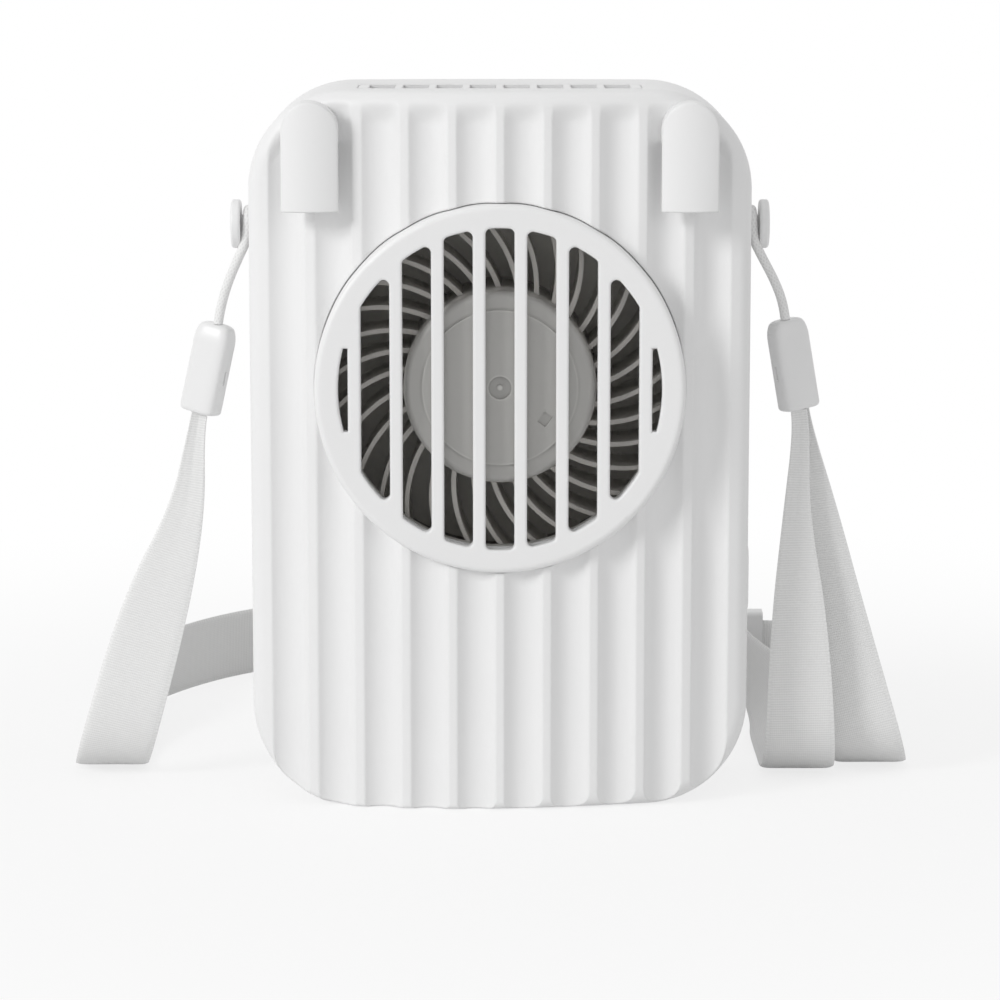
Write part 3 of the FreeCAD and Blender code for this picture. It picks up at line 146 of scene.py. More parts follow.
# The fluted housing, as the solids have it
BODY_HALF = float(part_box("front_shell")[1][0])
BODY_TOP = float(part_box("front_shell")[1][2])
FRONT_WALL = -14.5 * MM
BACK_WALL = 15.5 * MM
FRONT_BOW = 6.0 * MM
BACK_BOW = 3.0 * MM
CORNER_ROUND = 13.25 * MM
RIM_ROUND = 2.4 * MM
RIM_BAND = 1.0 * MM
FRONT_CHANNELS = 10
FLUTE_PITCH = 6.18 * MM
FLUTE_DEPTH = 1.2 * MM
RIDGE_FLAT = 1.1 * MM
SHOULDER_ROUND = 0.5 * MM

# The bands over the tops of its channels
RIM_COVER = 0.6 * MM
RIM_PASSES = 5
BAND_PROUD = 0.004 * MM
BAND_DEPTH = 0.2 * MM


# Sizes and colours that a user would change

def length(name, description, default):
    return FloatProperty(name=name, description=description, default=default, unit="LENGTH", precision=5)


def colour(name, description, default):
    return FloatVectorProperty(name=name, description=description, default=default, size=3, subtype="COLOR",
                               min=0.0, max=1.0)


class NeckFanSizes(bpy.types.PropertyGroup):
    """Sizes of the dressed pieces."""
    ribbon_width: length("Ribbon width", "Width of the flat neck ribbon", 0.010)
    ribbon_thick: length("Ribbon thickness", "Thickness of the woven ribbon", 0.0007)
    fold_depth: length("Gather depth", "Depth of the cupped fold where the ribbon is gathered", 0.0005)
    rib_pitch: length("Rib pitch", "Distance between the crosswise ribs of the ribbon's weave", 0.00034)
    cord_radius: length("Cord radius", "Radius of the braided cord loops", 0.0006)
    braid_pitch: length("Braid pitch", "Distance between the strands along the cord", 0.0008)
    end_width: length("Strap end width", "Width of a strap end across its broad face", 0.0054)
    end_thick: length("Strap end thickness", "Thickness of a strap end", 0.0035)
    end_shoulder: length("Strap end shoulder", "Height of the round shoulders of a strap end", 0.0026)
    end_draw: length("Strap end draw", "How far the shoulders of a strap end draw in at its top", 0.0011)
    slit_length: length("Slit length", "Length of the slit in the inner side of a strap end", 0.0020)
    runout: length("Run-out", "Length over which the housing's channels run out at their tops", 0.0034)
    edge_round: length("Edge round", "Radius that the moulded edges of the housing are shaded with", 0.0004)
    coil_step: IntProperty(name="Points per half turn", default=7, min=6, max=12,
                           description="Spline points on each half turn of the coil")


class NeckFanColours(bpy.types.PropertyGroup):
    """Colours of the finishes."""
    housing: colour("Housing", "White satin plastic of the housing", (0.86, 0.86, 0.86))
    strap_end: colour("Strap ends", "White glossy plastic of the strap ends and slider", (0.83, 0.83, 0.83))
    wheel: colour("Wheel hub", "Warm grey plastic of the blower wheel's hub", (0.44, 0.435, 0.42))
    # Painted light: the blades are one moulding with the hub, painted paler than its plastic
    lit_blade: colour("Blades", "Paler tone of the thin blades", (0.64, 0.62, 0.59))
    duct: colour("Duct", "Grey plastic of the scroll duct", (0.55, 0.54, 0.52))
    ribbon: colour("Ribbon", "White woven ribbon", (0.87, 0.87, 0.865))
    board: colour("Circuit boards", "Green mask of the circuit boards", (0.03, 0.16, 0.07))
    cell: colour("Battery", "Foil wrap of the battery cell", (0.42, 0.46, 0.52))
    lead: colour("Leads", "Sheath of the inner leads", (0.55, 0.06, 0.05))
    floor: colour("Floor", "Pale floor", (0.88, 0.88, 0.88))


def sizes():
    return bpy.context.scene.neck_fan_sizes


def colours():
    return bpy.context.scene.neck_fan_colours


# Meshes

def grid_mesh(name, grid, tube=False, uv=None):
    """A mesh from a grid of points: grid[i, j] is the surface at the i-th row and j-th column parameter.

    A tube joins its last column to its first and is closed at both ends. uv gives, for rows and columns,
    the texture place of every grid line, with one more line than columns for a tube.
    """
    rows, cols = grid.shape[:2]
    i, j = np.meshgrid(np.arange(rows - 1), np.arange(cols if tube else cols - 1), indexing="ij")
    corners = [(i, j), (i, j + 1), (i + 1, j + 1), (i + 1, j)]
    faces = np.stack([a * cols + b % cols for a, b in corners], -1).reshape(-1, 4)
    polygons = faces.tolist()
    if tube:
        polygons.append(list(range(cols))[::-1])
        polygons.append(list(range((rows - 1) * cols, rows * cols)))
    mesh = bpy.data.meshes.new(name)
    mesh.from_pydata(grid.reshape(-1, 3).tolist(), [], polygons)
    if uv is not None:
        layer = mesh.uv_layers.new(name="UVMap")
        places = np.stack([np.stack([uv[0][a], uv[1][b]], -1) for a, b in corners], -2).reshape(-1, 2)
        flat = np.zeros((len(mesh.loops), 2))
        flat[:len(places)] = places
        layer.data.foreach_set("uv", flat.ravel())
    mesh.validate()
    mesh.shade_smooth()
    mesh.set_sharp_from_angle(angle=SHARP_EDGE)
    return mesh


def add_piece(name, mesh, material, body=ROOT, stands_for=()):
    """Put a mesh in the scene as a piece that rides on a body and takes the given finish."""
    piece = bpy.data.objects.new(name, mesh)
    bpy.context.scene.collection.objects.link(piece)
    mesh.materials.clear()
    mesh.materials.append(material)
    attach(piece, body)
    if stands_for:
        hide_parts(*stands_for)
    return piece


def dress(material, *nodes):
    """Give CAD nodes a finish."""
    for node in nodes:
        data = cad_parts[node].data
        data.materials.clear()
        data.materials.append(material)


def unit(v):
    return v / np.maximum(np.linalg.norm(v, axis=-1, keepdims=True), 1e-12)


def follow(points):
    """Points along the smooth spline whose control points are given (order 3, reaching both ends)."""
    curve = bpy.data.curves.new("route", "CURVE")
    curve.dimensions = "3D"
    curve.resolution_u = SPLINE_STEPS
    spline = curve.splines.new("NURBS")
    spline.points.add(len(points) - 1)
    flat = np.ones((len(points), 4))
    flat[:, :3] = points
    spline.points.foreach_set("co", flat.ravel())
    spline.order_u = 3
    spline.use_endpoint_u = True
    holder = bpy.data.objects.new("route", curve)
    bpy.context.scene.collection.objects.link(holder)
    line = bpy.data.meshes.new_from_object(holder)
    out = np.empty(len(line.vertices) * 3)
    line.vertices.foreach_get("co", out)
    bpy.data.objects.remove(holder)
    bpy.data.curves.remove(curve)
    bpy.data.meshes.remove(line)
    return out.reshape(-1, 3)


def run_length(line):
    """How far along a line each of its points lies."""
    steps = np.linalg.norm(np.diff(line, axis=0), axis=1)
    return np.concatenate([[0.0], np.cumsum(steps)])


# Finishes

class Finish:
    """A procedural material: one Principled shader and short ways to add nodes to it."""

    def __init__(self, name, base, roughness, metallic=0.0):
        self.material = bpy.data.materials.new(name)
        self.material.use_nodes = True
        self.tree = self.material.node_tree
        self.shader = self.tree.nodes["Principled BSDF"]
        self.shader.inputs["Base Color"].default_value = (*base, 1.0)
        self.shader.inputs["Roughness"].default_value = roughness
        self.shader.inputs["Metallic"].default_value = metallic
        self.base = base

    def node(self, kind, **values):
        made = self.tree.nodes.new(kind)
        for key, value in values.items():
            setattr(made, key, value)
        return made

    def link(self, out, into):
        self.tree.links.new(out, into)

    def place(self, kind="Object", scale=(1.0, 1.0, 1.0)):
        coords = self.node("ShaderNodeTexCoord")
        mapping = self.node("ShaderNodeMapping")
        mapping.inputs["Scale"].default_value = scale
        self.link(coords.outputs[kind], mapping.inputs["Vector"])
        return mapping.outputs["Vector"]

    def from_axis(self, where):
        """Distance from the wheel's axis, and depth along it."""
        middle = self.node("ShaderNodeVectorMath", operation="SUBTRACT")
        middle.inputs[1].default_value = (0.0, 0.0, WHEEL_HEIGHT)
        self.link(where, middle.inputs[0])
        flat = self.node("ShaderNodeVectorMath", operation="MULTIPLY")
        flat.inputs[1].default_value = (1.0, 0.0, 1.0)
        self.link(middle.outputs["Vector"], flat.inputs[0])
        radius = self.node("ShaderNodeVectorMath", operation="LENGTH")
        self.link(flat.outputs["Vector"], radius.inputs[0])
        parts = self.node("ShaderNodeSeparateXYZ")
        self.link(where, parts.inputs[0])
        return radius.outputs["Value"], parts.outputs["Y"]

    def noise(self, where, scale, detail=3.0):
        texture = self.node("ShaderNodeTexNoise")
        texture.inputs["Scale"].default_value = scale
        texture.inputs["Detail"].default_value = detail
        self.link(where, texture.inputs["Vector"])
        return texture.outputs["Fac"]

    def wave(self, where, scale, direction="X"):
        texture = self.node("ShaderNodeTexWave", wave_type="BANDS", bands_direction=direction)
        texture.inputs["Scale"].default_value = scale
        texture.inputs["Distortion"].default_value = 0.0
        self.link(where, texture.inputs["Vector"])
        return texture.outputs["Fac"]

    def math(self, operation, a, b):
        made = self.node("ShaderNodeMath", operation=operation)
        for socket, value in zip(made.inputs, (a, b)):
            if isinstance(value, (int, float)):
                socket.default_value = value
            else:
                self.link(value, socket)
        return made.outputs[0]

    def spread(self, value, low, high):
        """Carry a 0 to 1 value to another range."""
        made = self.node("ShaderNodeMapRange")
        made.inputs["To Min"].default_value = low
        made.inputs["To Max"].default_value = high
        self.link(value, made.inputs["Value"])
        return made.outputs["Result"]

    def tint(self, value, dark, light):
        """Vary the base colour between two shares of itself."""
        ramp = self.node("ShaderNodeValToRGB")
        ramp.color_ramp.elements[0].color = (*[c * dark for c in self.base], 1.0)
        ramp.color_ramp.elements[1].color = (*[min(c * light, 1.0) for c in self.base], 1.0)
        self.link(value, ramp.inputs["Fac"])
        self.link(ramp.outputs["Color"], self.shader.inputs["Base Color"])

    def rough(self, value, low, high):
        self.link(self.spread(value, low, high), self.shader.inputs["Roughness"])

    def bump(self, value, strength, distance, edge=0.0):
        """Relief from a value, over edges that are shaded as rounds of the given radius."""
        made = self.node("ShaderNodeBump")
        if edge:
            rounded = self.node("ShaderNodeBevel", samples=4)
            rounded.inputs["Radius"].default_value = edge
            self.link(rounded.outputs["Normal"], made.inputs["Normal"])
        made.inputs["Strength"].default_value = strength
        made.inputs["Distance"].default_value = distance
        self.link(value, made.inputs["Height"])
        self.link(made.outputs["Normal"], self.shader.inputs["Normal"])


def moulded_plastic(name, base, roughness, grain=1400.0, depth=0.00002, inlet=None, edge=0.0):
    """Moulded plastic: a fine spark-eroded grain and a faint drift in gloss and tone.

    inlet is the colour of a painted shade on the collar inside the inlet, where the distance from the wheel's
    axis and the depth both lie within the inlet's; the white shell itself has no such colour there.
    """
    finish = Finish(name, base, roughness)
    where = finish.place()
    drift = finish.noise(where, 45.0)
    finish.tint(drift, dark=0.975, light=1.015)
    # Painted shade on the collar inside the inlet
    if inlet is not None:
        radius, deep = finish.from_axis(where)
        shade = finish.node("ShaderNodeMix", data_type="RGBA")
        shade.inputs["B"].default_value = (*inlet, 1.0)
        collar = finish.math("MULTIPLY", finish.math("LESS_THAN", radius, INLET_REACH),
                             finish.math("GREATER_THAN", deep, INLET_FRONT))
        finish.link(collar, shade.inputs["Factor"])
        finish.link(finish.shader.inputs["Base Color"].links[0].from_socket, shade.inputs["A"])
        finish.link(shade.outputs["Result"], finish.shader.inputs["Base Color"])
    finish.rough(drift, low=roughness - 0.05, high=roughness + 0.05)
    finish.bump(finish.noise(where, grain, 2.0), strength=0.25, distance=depth, edge=edge)
    return finish.material


def worked_metal(name, base, roughness, stretch=(1.0, 1.0, 1.0)):
    """Turned or drawn metal: fine lines along one way, and a drift in gloss."""
    finish = Finish(name, base, roughness, 1.0)
    lines = finish.noise(finish.place(scale=stretch), 900.0)
    finish.tint(lines, dark=0.9, light=1.06)
    finish.rough(lines, low=roughness - 0.08, high=roughness + 0.1)
    finish.bump(lines, strength=0.15, distance=0.00002)
    return finish.material


def wheel_plastic(base, lit_blade):
    """Smoky plastic of the wheel, toned by the distance r from its axis and by depth.

    The rims of the dimple and of the hub's step carry painted highlights as thin pale lines at their radii,
    and the dimple's floor is painted shade round a painted highlight on the nub. Past the hub the thin blades
    take a paler tone of painted light, with more painted light still towards the plate behind them.
    """
    finish = Finish("wheel_plastic", base, 0.4)
    where = finish.place()
    radius, depth = finish.from_axis(where)
    ramp = finish.node("ShaderNodeValToRGB")
    finish.link(finish.math("DIVIDE", radius, WHEEL_REACH), ramp.inputs["Fac"])
    # The hub's painted highlights and painted shade by radius, then the blades' painted-light tone
    tones = [(at * MM, tuple(c * share for c in base)) for at, share in HUB_LIGHT_AND_SHADE] + [(BLADE_ROOT, lit_blade)]
    stops = ramp.color_ramp.elements
    while len(stops) < len(tones):
        stops.new(0.5)
    for stop, (at, tone) in zip(stops, tones):
        stop.position = at / WHEEL_REACH
        stop.color = (*tone, 1.0)
    deep = finish.node("ShaderNodeMapRange")
    deep.inputs["From Min"].default_value = BLADE_FRONT
    deep.inputs["From Max"].default_value = BLADE_BACK
    finish.link(depth, deep.inputs["Value"])
    # Painted light: the blades are painted paler with depth towards the plate
    outer = finish.math("GREATER_THAN", radius, BLADE_ROOT)
    paler = finish.node("ShaderNodeMix", data_type="RGBA")
    paler.inputs["B"].default_value = (*[min(c * BLADE_PAINTED_LIGHT, BLADE_PAINTED_LIGHT_CAP) for c in lit_blade], 1.0)
    finish.link(finish.math("MULTIPLY", deep.outputs["Result"], outer), paler.inputs["Factor"])
    finish.link(ramp.outputs["Color"], paler.inputs["A"])
    finish.link(paler.outputs["Result"], finish.shader.inputs["Base Color"])
    drift = finish.noise(where, 60.0)
    finish.rough(drift, low=0.34, high=0.46)
    finish.bump(finish.noise(where, 1900.0, 2.0), strength=0.2, distance=0.000012)
    return finish.material


def laminated_steel(name, base):
    """A stack of thin steel sheets: dark lines across the fan's axis at each sheet's edge."""
    finish = Finish(name, base, 0.45, 1.0)
    where = finish.place()
    sheets = finish.wave(where, WAVE_SHARE / SHEET_PITCH, "Y")
    finish.tint(sheets, dark=0.6, light=1.05)
    finish.rough(finish.noise(where, 600.0), low=0.38, high=0.55)
    finish.bump(sheets, strength=0.4, distance=0.00004)
    return finish.material


def wound_wire(name, base):
    """Enamelled wire laid side by side: rounded lines with a glossy coat."""
    finish = Finish(name, base, 0.3, 0.9)
    where = finish.place()
    wires = finish.wave(where, WAVE_SHARE / WIRE_PITCH, "Y")
    finish.tint(finish.math("MULTIPLY", wires, finish.noise(where, 500.0)), dark=0.55, light=1.15)
    finish.bump(wires, strength=0.7, distance=0.00006)
    finish.shader.inputs["Coat Weight"].default_value = 0.5
    return finish.material


def sintered_metal(name, base, roughness, metallic):
    """Pressed powder, as in a magnet or a plain bearing: fine pits and specks."""
    finish = Finish(name, base, roughness, metallic)
    specks = finish.noise(finish.place(), 2600.0, 6.0)
    finish.tint(specks, dark=0.75, light=1.15)
    finish.rough(specks, low=roughness - 0.1, high=roughness + 0.12)
    finish.bump(specks, strength=0.35, distance=0.00003)
    return finish.material


def circuit_board(name, base):
    """Solder mask over copper: broken paler tracks that cross, under a glossy coat."""
    finish = Finish(name, base, 0.35)
    where = finish.place()
    tracks = finish.math("MAXIMUM", finish.wave(where, WAVE_SHARE / TRACK_PITCH_ACROSS, "X"),
                         finish.wave(where, WAVE_SHARE / TRACK_PITCH_UP, "Z"))
    lines = finish.math("MULTIPLY", finish.math("GREATER_THAN", tracks, 0.93),
                        finish.math("GREATER_THAN", finish.noise(where, 160.0), 0.47))
    finish.tint(lines, dark=0.9, light=1.9)
    finish.bump(lines, strength=0.3, distance=0.00004)
    finish.rough(finish.noise(where, 700.0), low=0.28, high=0.42)
    return finish.material


def foil_wrap(name, base):
    """Pouch foil: soft creases and a dull metallic sheen."""
    finish = Finish(name, base, 0.4, 0.6)
    creases = finish.noise(finish.place(scale=(1.0, 1.0, 0.35)), 220.0, 5.0)
    finish.tint(creases, dark=0.85, light=1.12)
    finish.rough(creases, low=0.28, high=0.5)
    finish.bump(creases, strength=0.4, distance=0.0002)
    return finish.material


def milky_plastic(name):
    """Milky plastic of the light guide, with a faintly frosted end."""
    finish = Finish(name, (0.85, 0.86, 0.86), 0.3)
    frost = finish.noise(finish.place(), 900.0)
    finish.tint(frost, dark=0.97, light=1.0)
    finish.rough(frost, low=0.22, high=0.4)
    finish.shader.inputs["Transmission Weight"].default_value = 0.35
    finish.shader.inputs["IOR"].default_value = 1.49
    return finish.material


def woven_ribbon(base, width, pitch):
    """Ribbed ribbon on its UV map: U in metres along, V in metres across.

    Fine ribs cross the ribbon at the weave's pitch, finer warp threads break them up, and a band along each
    edge, where V is near half the width, is the paler looped selvage.
    """
    finish = Finish("woven_ribbon", base, 0.82)
    where = finish.place("UV")
    drift = finish.noise(where, 900.0, 4.0)
    ribs = finish.wave(where, WAVE_SHARE / pitch, "X")
    warp = finish.wave(where, WAVE_SHARE / (WARP_PITCH * pitch), "Y")
    cloth = finish.math("ADD", finish.math("MULTIPLY", ribs, RIB_SHARE),
                        finish.math("MULTIPLY", warp, WARP_SHARE))
    cloth = finish.math("ADD", cloth, finish.math("MULTIPLY", drift, DRIFT_SHARE))
    parts = finish.node("ShaderNodeSeparateXYZ")
    finish.link(where, parts.inputs[0])
    edge = finish.node("ShaderNodeMapRange")
    edge.inputs["From Min"].default_value = SELVAGE_SHARES[0] * width / 2
    edge.inputs["From Max"].default_value = SELVAGE_SHARES[1] * width / 2
    finish.link(finish.math("ABSOLUTE", parts.outputs["Y"], 0.0), edge.inputs["Value"])
    loops = finish.wave(where, WAVE_SHARE / (LOOP_PITCH * pitch), "X")
    looped = finish.math("ADD", finish.math("MULTIPLY", loops, 0.5), 0.5)
    selvage = finish.math("MULTIPLY", edge.outputs["Result"], looped)
    cover = finish.math("MAXIMUM", cloth, selvage)
    finish.tint(cover, dark=0.88, light=1.05)
    finish.bump(cover, strength=0.45, distance=0.00006)
    finish.shader.inputs["Sheen Weight"].default_value = 0.12
    finish.shader.inputs["Specular IOR Level"].default_value = 0.2
    return finish.material


def braided_cord(base, pitch):
    """Round braid on its UV map: U in metres along and V once round. Two sets of strands cross.

    A diagonal wave of scale s runs at 10 s (U + k V), and k makes a whole number of strands meet round it.
    """
    finish = Finish("braided_cord", base, 0.8)
    scale = 2.0 * WAVE_SHARE / pitch
    turn = BRAID_STRANDS * pitch
    left = finish.wave(finish.place("UV", (1.0, turn, 1.0)), scale, "DIAGONAL")
    right = finish.wave(finish.place("UV", (1.0, -turn, 1.0)), scale, "DIAGONAL")
    strands = finish.math("MAXIMUM", left, right)
    finish.tint(strands, dark=0.88, light=1.03)
    finish.bump(strands, strength=0.5, distance=0.00005)
    finish.shader.inputs["Specular IOR Level"].default_value = 0.25
    return finish.material


def pale_floor(base):
    """Matt floor that keeps the shadow, and that the camera sees whiter further away from the fan."""
    finish = Finish("pale_floor", base, 0.9)
    finish.shader.inputs["Specular IOR Level"].default_value = 0.0
    far = finish.node("ShaderNodeVectorMath", operation="LENGTH")
    finish.link(finish.place(), far.inputs[0])
    share = finish.node("ShaderNodeMapRange", interpolation_type="SMOOTHSTEP")
    share.inputs["From Min"].default_value = FLOOR_NEAR
    share.inputs["From Max"].default_value = FLOOR_FAR
    share.inputs["To Min"].default_value = FLOOR_NEAR_SHARE
    share.inputs["To Max"].default_value = 1.0
    finish.link(far.outputs["Value"], share.inputs["Value"])
    path = finish.node("ShaderNodeLightPath")
    seen = finish.math("MAXIMUM", path.outputs["Is Camera Ray"], path.outputs["Is Glossy Ray"])
    seen = finish.math("MAXIMUM", seen, path.outputs["Is Transmission Ray"])
    white = finish.node("ShaderNodeEmission")
    mix = finish.node("ShaderNodeMixShader")
    finish.link(finish.math("MULTIPLY", seen, share.outputs["Result"]), mix.inputs["Fac"])
    finish.link(finish.shader.outputs["BSDF"], mix.inputs[1])
    finish.link(white.outputs["Emission"], mix.inputs[2])
    finish.link(mix.outputs["Shader"], finish.tree.nodes["Material Output"].inputs["Surface"])
    return finish.material


# Routes of the strap: places, the way the ribbon's width points, and its width, each by spline point

def mm(rows):
    return np.array(rows, dtype=float) * MM


LEFT_DROP = mm([(-40.4, 2.0, 50.98), (-40.93, 2.0, 48.53), (-42.2, 1.6, 37.44), (-46.9, 1.0, 23.99),
                (-53.6, 1.0, 0.5), (-54.4, 25.0, 0.8), (-54.2, 38.0, 4.6), (-52.2, 51.0, 5.2),
                (-44.25, 67.17, 5.0), (-34.28, 77.14, 5.0)])
LEFT_ACROSS = np.array([(-1, 0, 0)] * 6 + [(-0.7, 0, -0.7)] + [(0, 0, -1)] * 3, dtype=float)
LEFT_WIDTHS = mm([2.2, 2.2, 4.9, 9.5, 10, 10, 10, 10, 10, 10])
RIGHT_DROP = mm([(22.28, 48.86, 5.0), (25.11, 51.69, 5.0), (30.06, 56.64, 6.5), (45.96, 56.64, 6.5),
                 (52.0, 47.3, 5.2), (51.8, 36.1, 4.5), (51.6, 24.9, 0.8), (51.4, 3.6, 0.5),
                 (45.3, 3.6, 21.01), (43.2, 3.2, 36.52), (40.94, 2.85, 49.05), (40.52, 2.85, 51.51)])
RIGHT_ACROSS = np.array([(0, 0, -1)] * 5 + [(0.7, 0, -0.7)] + [(1, 0, 0)] * 6, dtype=float)
RIGHT_WIDTHS = mm([10, 10, 10, 10, 10, 10, 10, 10, 10, 5.6, 2.2, 2.2])
RETURN_RUN = mm([(40.13, 1.15, 51.44), (40.55, 1.15, 48.98), (39.9, 0.4, 37.44), (40.5, -0.4, 22.54),
                 (41.0, -0.6, 0.5), (40.8, 22.0, 0.8), (40.2, 33.5, 4.5), (36.4, 45.5, 6.5),
                 (36.4, 54.84, 6.5)])
RETURN_ACROSS = np.array([(-1, 0, 0)] * 6 + [(-0.7, 0, -0.7)] + [(0, 0, -1)] * 2, dtype=float)
RETURN_WIDTHS = mm([2.2, 2.2, 3.5, 7.8, 10, 10, 10, 10, 10])
COIL_CENTRE = mm((-6.0, 63.0, 5.0))
COIL_TURNED = math.radians(-45)
COIL_RADII = mm([11.0, 24.0, 28.0])
LEFT_END = mm([(-37.8, 2.0, 63.0), (-40.4, 2.0, 50.98)])
RIGHT_END = mm([(38.25, 2.0, 63.6), (40.32, 2.0, 51.48)])
END_TWIST = math.radians(27)
LEFT_LEG = mm([(-37.8, 1.35, 63.0), (-37.45, 1.35, 65.15), (-36.4, 1.1, 68.6), (-34.95, 0.5, 71.9),
               (-33.75, 0.1, 74.4), (-33.6, 0.1, 78.3)])
RIGHT_LEG = mm([(38.25, 1.35, 63.6), (37.95, 1.35, 65.77), (36.7, 1.1, 68.9), (35.05, 0.5, 71.9),
                (33.8, 0.1, 74.4), (33.6, 0.1, 78.3)])
LOOP_MIDDLE = 2.0 * MM


def whole_loop(leg):
    """A loop's points: the front leg up to the stud, and the same leg mirrored behind it, back down."""
    return np.concatenate([leg, (leg * (1, -1, 1) + (0, 2 * LOOP_MIDDLE, 0))[::-1]])


def coil_arm(count):
    """Spline points of one arm of the coil, from its eye outwards.

    Half turns of growing radius r: each starts where the last ended, its centre lies one radius further
    along the line of the ends, and its points are centre + r (cos a, sin a). The points stand a little
    outside the turn, by 1 / cos(half a step), because the spline runs inside them.
    """
    arm = []
    x = 0.0
    for k, radius in enumerate(COIL_RADII):
        way = 1.0 if k % 2 == 0 else -1.0
        centre = x + way * radius
        turn = np.linspace(0.0, math.pi, count)[1:]
        out = radius / math.cos(math.pi / (count - 1) / 2)
        arm.append(np.stack([centre - way * out * np.cos(turn), -way * out * np.sin(turn), 0 * turn], -1))
        x = centre + way * radius
    return np.concatenate(arm)


def coil_points(count):
    """The whole coil: one arm reversed and turned half round, the eye, and the other arm."""
    arm = coil_arm(count)
    flat = np.concatenate([-arm[::-1], np.zeros((1, 3)), arm])
    c, s = math.cos(COIL_TURNED), math.sin(COIL_TURNED)
    turned = np.stack([flat[:, 0] * c - flat[:, 1] * s, flat[:, 0] * s + flat[:, 1] * c, flat[:, 2]], -1)
    return turned + COIL_CENTRE


def ribbon_piece(name, points, across, widths, material, stands_for):
    """A flat ribbon: a closed band profile carried along the route's smooth spline.

    At arc length s the profile runs v from -1 to 1 across and back. A point is the line's, plus w(s) v / 2
    across it and n(s, v) along its normal. n is half the thickness, rounded off at the selvages as
    sqrt(1 - v^8) down to a fifth, and where the width w is gathered, also a cup
    f(s) (v^2 - 0.05 cos(3 pi v)).
    """
    size = sizes()
    line = follow(points)
    side = unit(follow(across))
    width = follow(np.stack([widths, 0 * widths, 0 * widths], -1))[:, 0]
    along = unit(np.gradient(line, axis=0))
    side = unit(side - along * np.sum(side * along, axis=-1, keepdims=True))
    normal = np.cross(side, along)
    v = np.linspace(-1.0, 1.0, RIBBON_COLUMNS)
    half = size.ribbon_thick / 2 * np.sqrt(np.clip(1.0 - v ** 8, 0.04, 1.0))
    gather = np.clip(1.0 - width / size.ribbon_width, 0.0, 1.0)[:, None]
    fold = size.fold_depth * gather * (v ** 2 - 0.05 * np.cos(3 * math.pi * v))[None, :]
    ring_v = np.concatenate([v, v[::-1]])
    ring_n = np.concatenate([half, -half[::-1]])[None, :] + np.concatenate([fold, fold[:, ::-1]], 1)
    grid = (line[:, None] + side[:, None] * (ring_v[None, :, None] * width[:, None, None] / 2)
            + normal[:, None] * ring_n[..., None])
    reach = run_length(line)
    around = np.concatenate([ring_v, ring_v[:1]]) * size.ribbon_width / 2
    mesh = grid_mesh(name, grid, tube=True, uv=(reach, around))
    piece = add_piece(name, mesh, material, stands_for=stands_for)
    return piece, line, reach[-1]


def loop_piece(name, points, material, stands_for):
    """A round cord: a circle carried along the loop's smooth spline."""
    radius = sizes().cord_radius
    line = follow(points)
    along = unit(np.gradient(line, axis=0))
    side = unit(np.cross(along, np.array((1.0, 0.0, 0.0))))
    normal = np.cross(side, along)
    turn = np.linspace(0.0, 2 * math.pi, CORD_SIDES, endpoint=False)
    grid = line[:, None] + radius * (side[:, None] * np.cos(turn)[None, :, None]
                                     + normal[:, None] * np.sin(turn)[None, :, None])
    reach = run_length(line)
    mesh = grid_mesh(name, grid, tube=True, uv=(reach, np.linspace(0.0, 1.0, CORD_SIDES + 1)))
    piece = add_piece(name, mesh, material, stands_for=stands_for)
    return piece, line, reach[-1]


def strap_end_piece(name, ends, twist, inner, material, stands_for):
    """A moulded strap end: a rounded rectangle carried down its axis.

    At angle a the section's reach is (|cos a / w|^4 + |sin a / t|^4)^(-1/4), with half width w and half
    thickness t. Down the axis, s from the top, both are drawn in by the shoulders, by
    d (1 - sqrt(1 - (1 - s / h)^2)) for s below h, and by a quarter round at the top and foot. The first and
    last rows close towards the middle of both end faces. A slit sinks into the inner side where its
    distances along and across lie inside the slit's size.
    """
    size = sizes()
    top, foot = ends
    reach = np.linalg.norm(foot - top)
    down = (foot - top) / reach
    level = np.array((-down[2], 0.0, down[0]))
    back = np.array((0.0, 1.0, 0.0))
    wide = math.cos(twist) * level + math.sin(twist) * back
    thick = math.cos(twist) * back - math.sin(twist) * level
    edge, rim = END_TOP_ROUND, END_FOOT_ROUND
    bend = np.linspace(0.0, math.pi / 2, ROUND_ROWS)
    fill = np.array(END_CAP_SHARES)
    shaft = np.linspace(edge, reach - rim, END_ROWS)[1:-1]
    s = np.concatenate([0 * fill, edge * (1 - np.cos(bend)), shaft, reach - rim * (1 - np.sin(bend)),
                        reach + 0 * fill])
    inset = np.concatenate([0 * fill + edge, edge * (1 - np.sin(bend)), 0 * shaft, rim * (1 - np.cos(bend)),
                            0 * fill + rim])
    share = np.concatenate([fill, np.ones(len(s) - 2 * len(fill)), fill[::-1]])
    climb = np.clip(1 - s / size.end_shoulder, 0.0, 1.0)
    inset = inset + size.end_draw * (1 - np.sqrt(1 - climb ** 2))
    a = np.linspace(0.0, 2 * math.pi, END_SIDES, endpoint=False)
    half_wide = (size.end_width / 2 - inset)[:, None]
    half_thick = (size.end_thick / 2 - END_THICK_SHARE * inset)[:, None]
    out = (np.abs(np.cos(a) / half_wide) ** 4 + np.abs(np.sin(a) / half_thick) ** 4) ** -0.25
    out = out * share[:, None]
    x, y = out * np.cos(a), out * np.sin(a)
    off = np.abs(s - SLIT_PLACE * reach)
    along = np.clip((size.slit_length / 2 - off) / SLIT_END_BLEND, 0.0, 1.0)[:, None]
    across = np.clip((SLIT_HALF - np.abs(y)) / SLIT_SIDE_BLEND, 0.0, 1.0) * (x * inner > 0)
    x = x - inner * SLIT_SINK * along * across
    grid = top + s[:, None, None] * down + x[..., None] * wide + y[..., None] * thick
    mesh = grid_mesh(name, grid, tube=True)
    return add_piece(name, mesh, material, stands_for=stands_for)


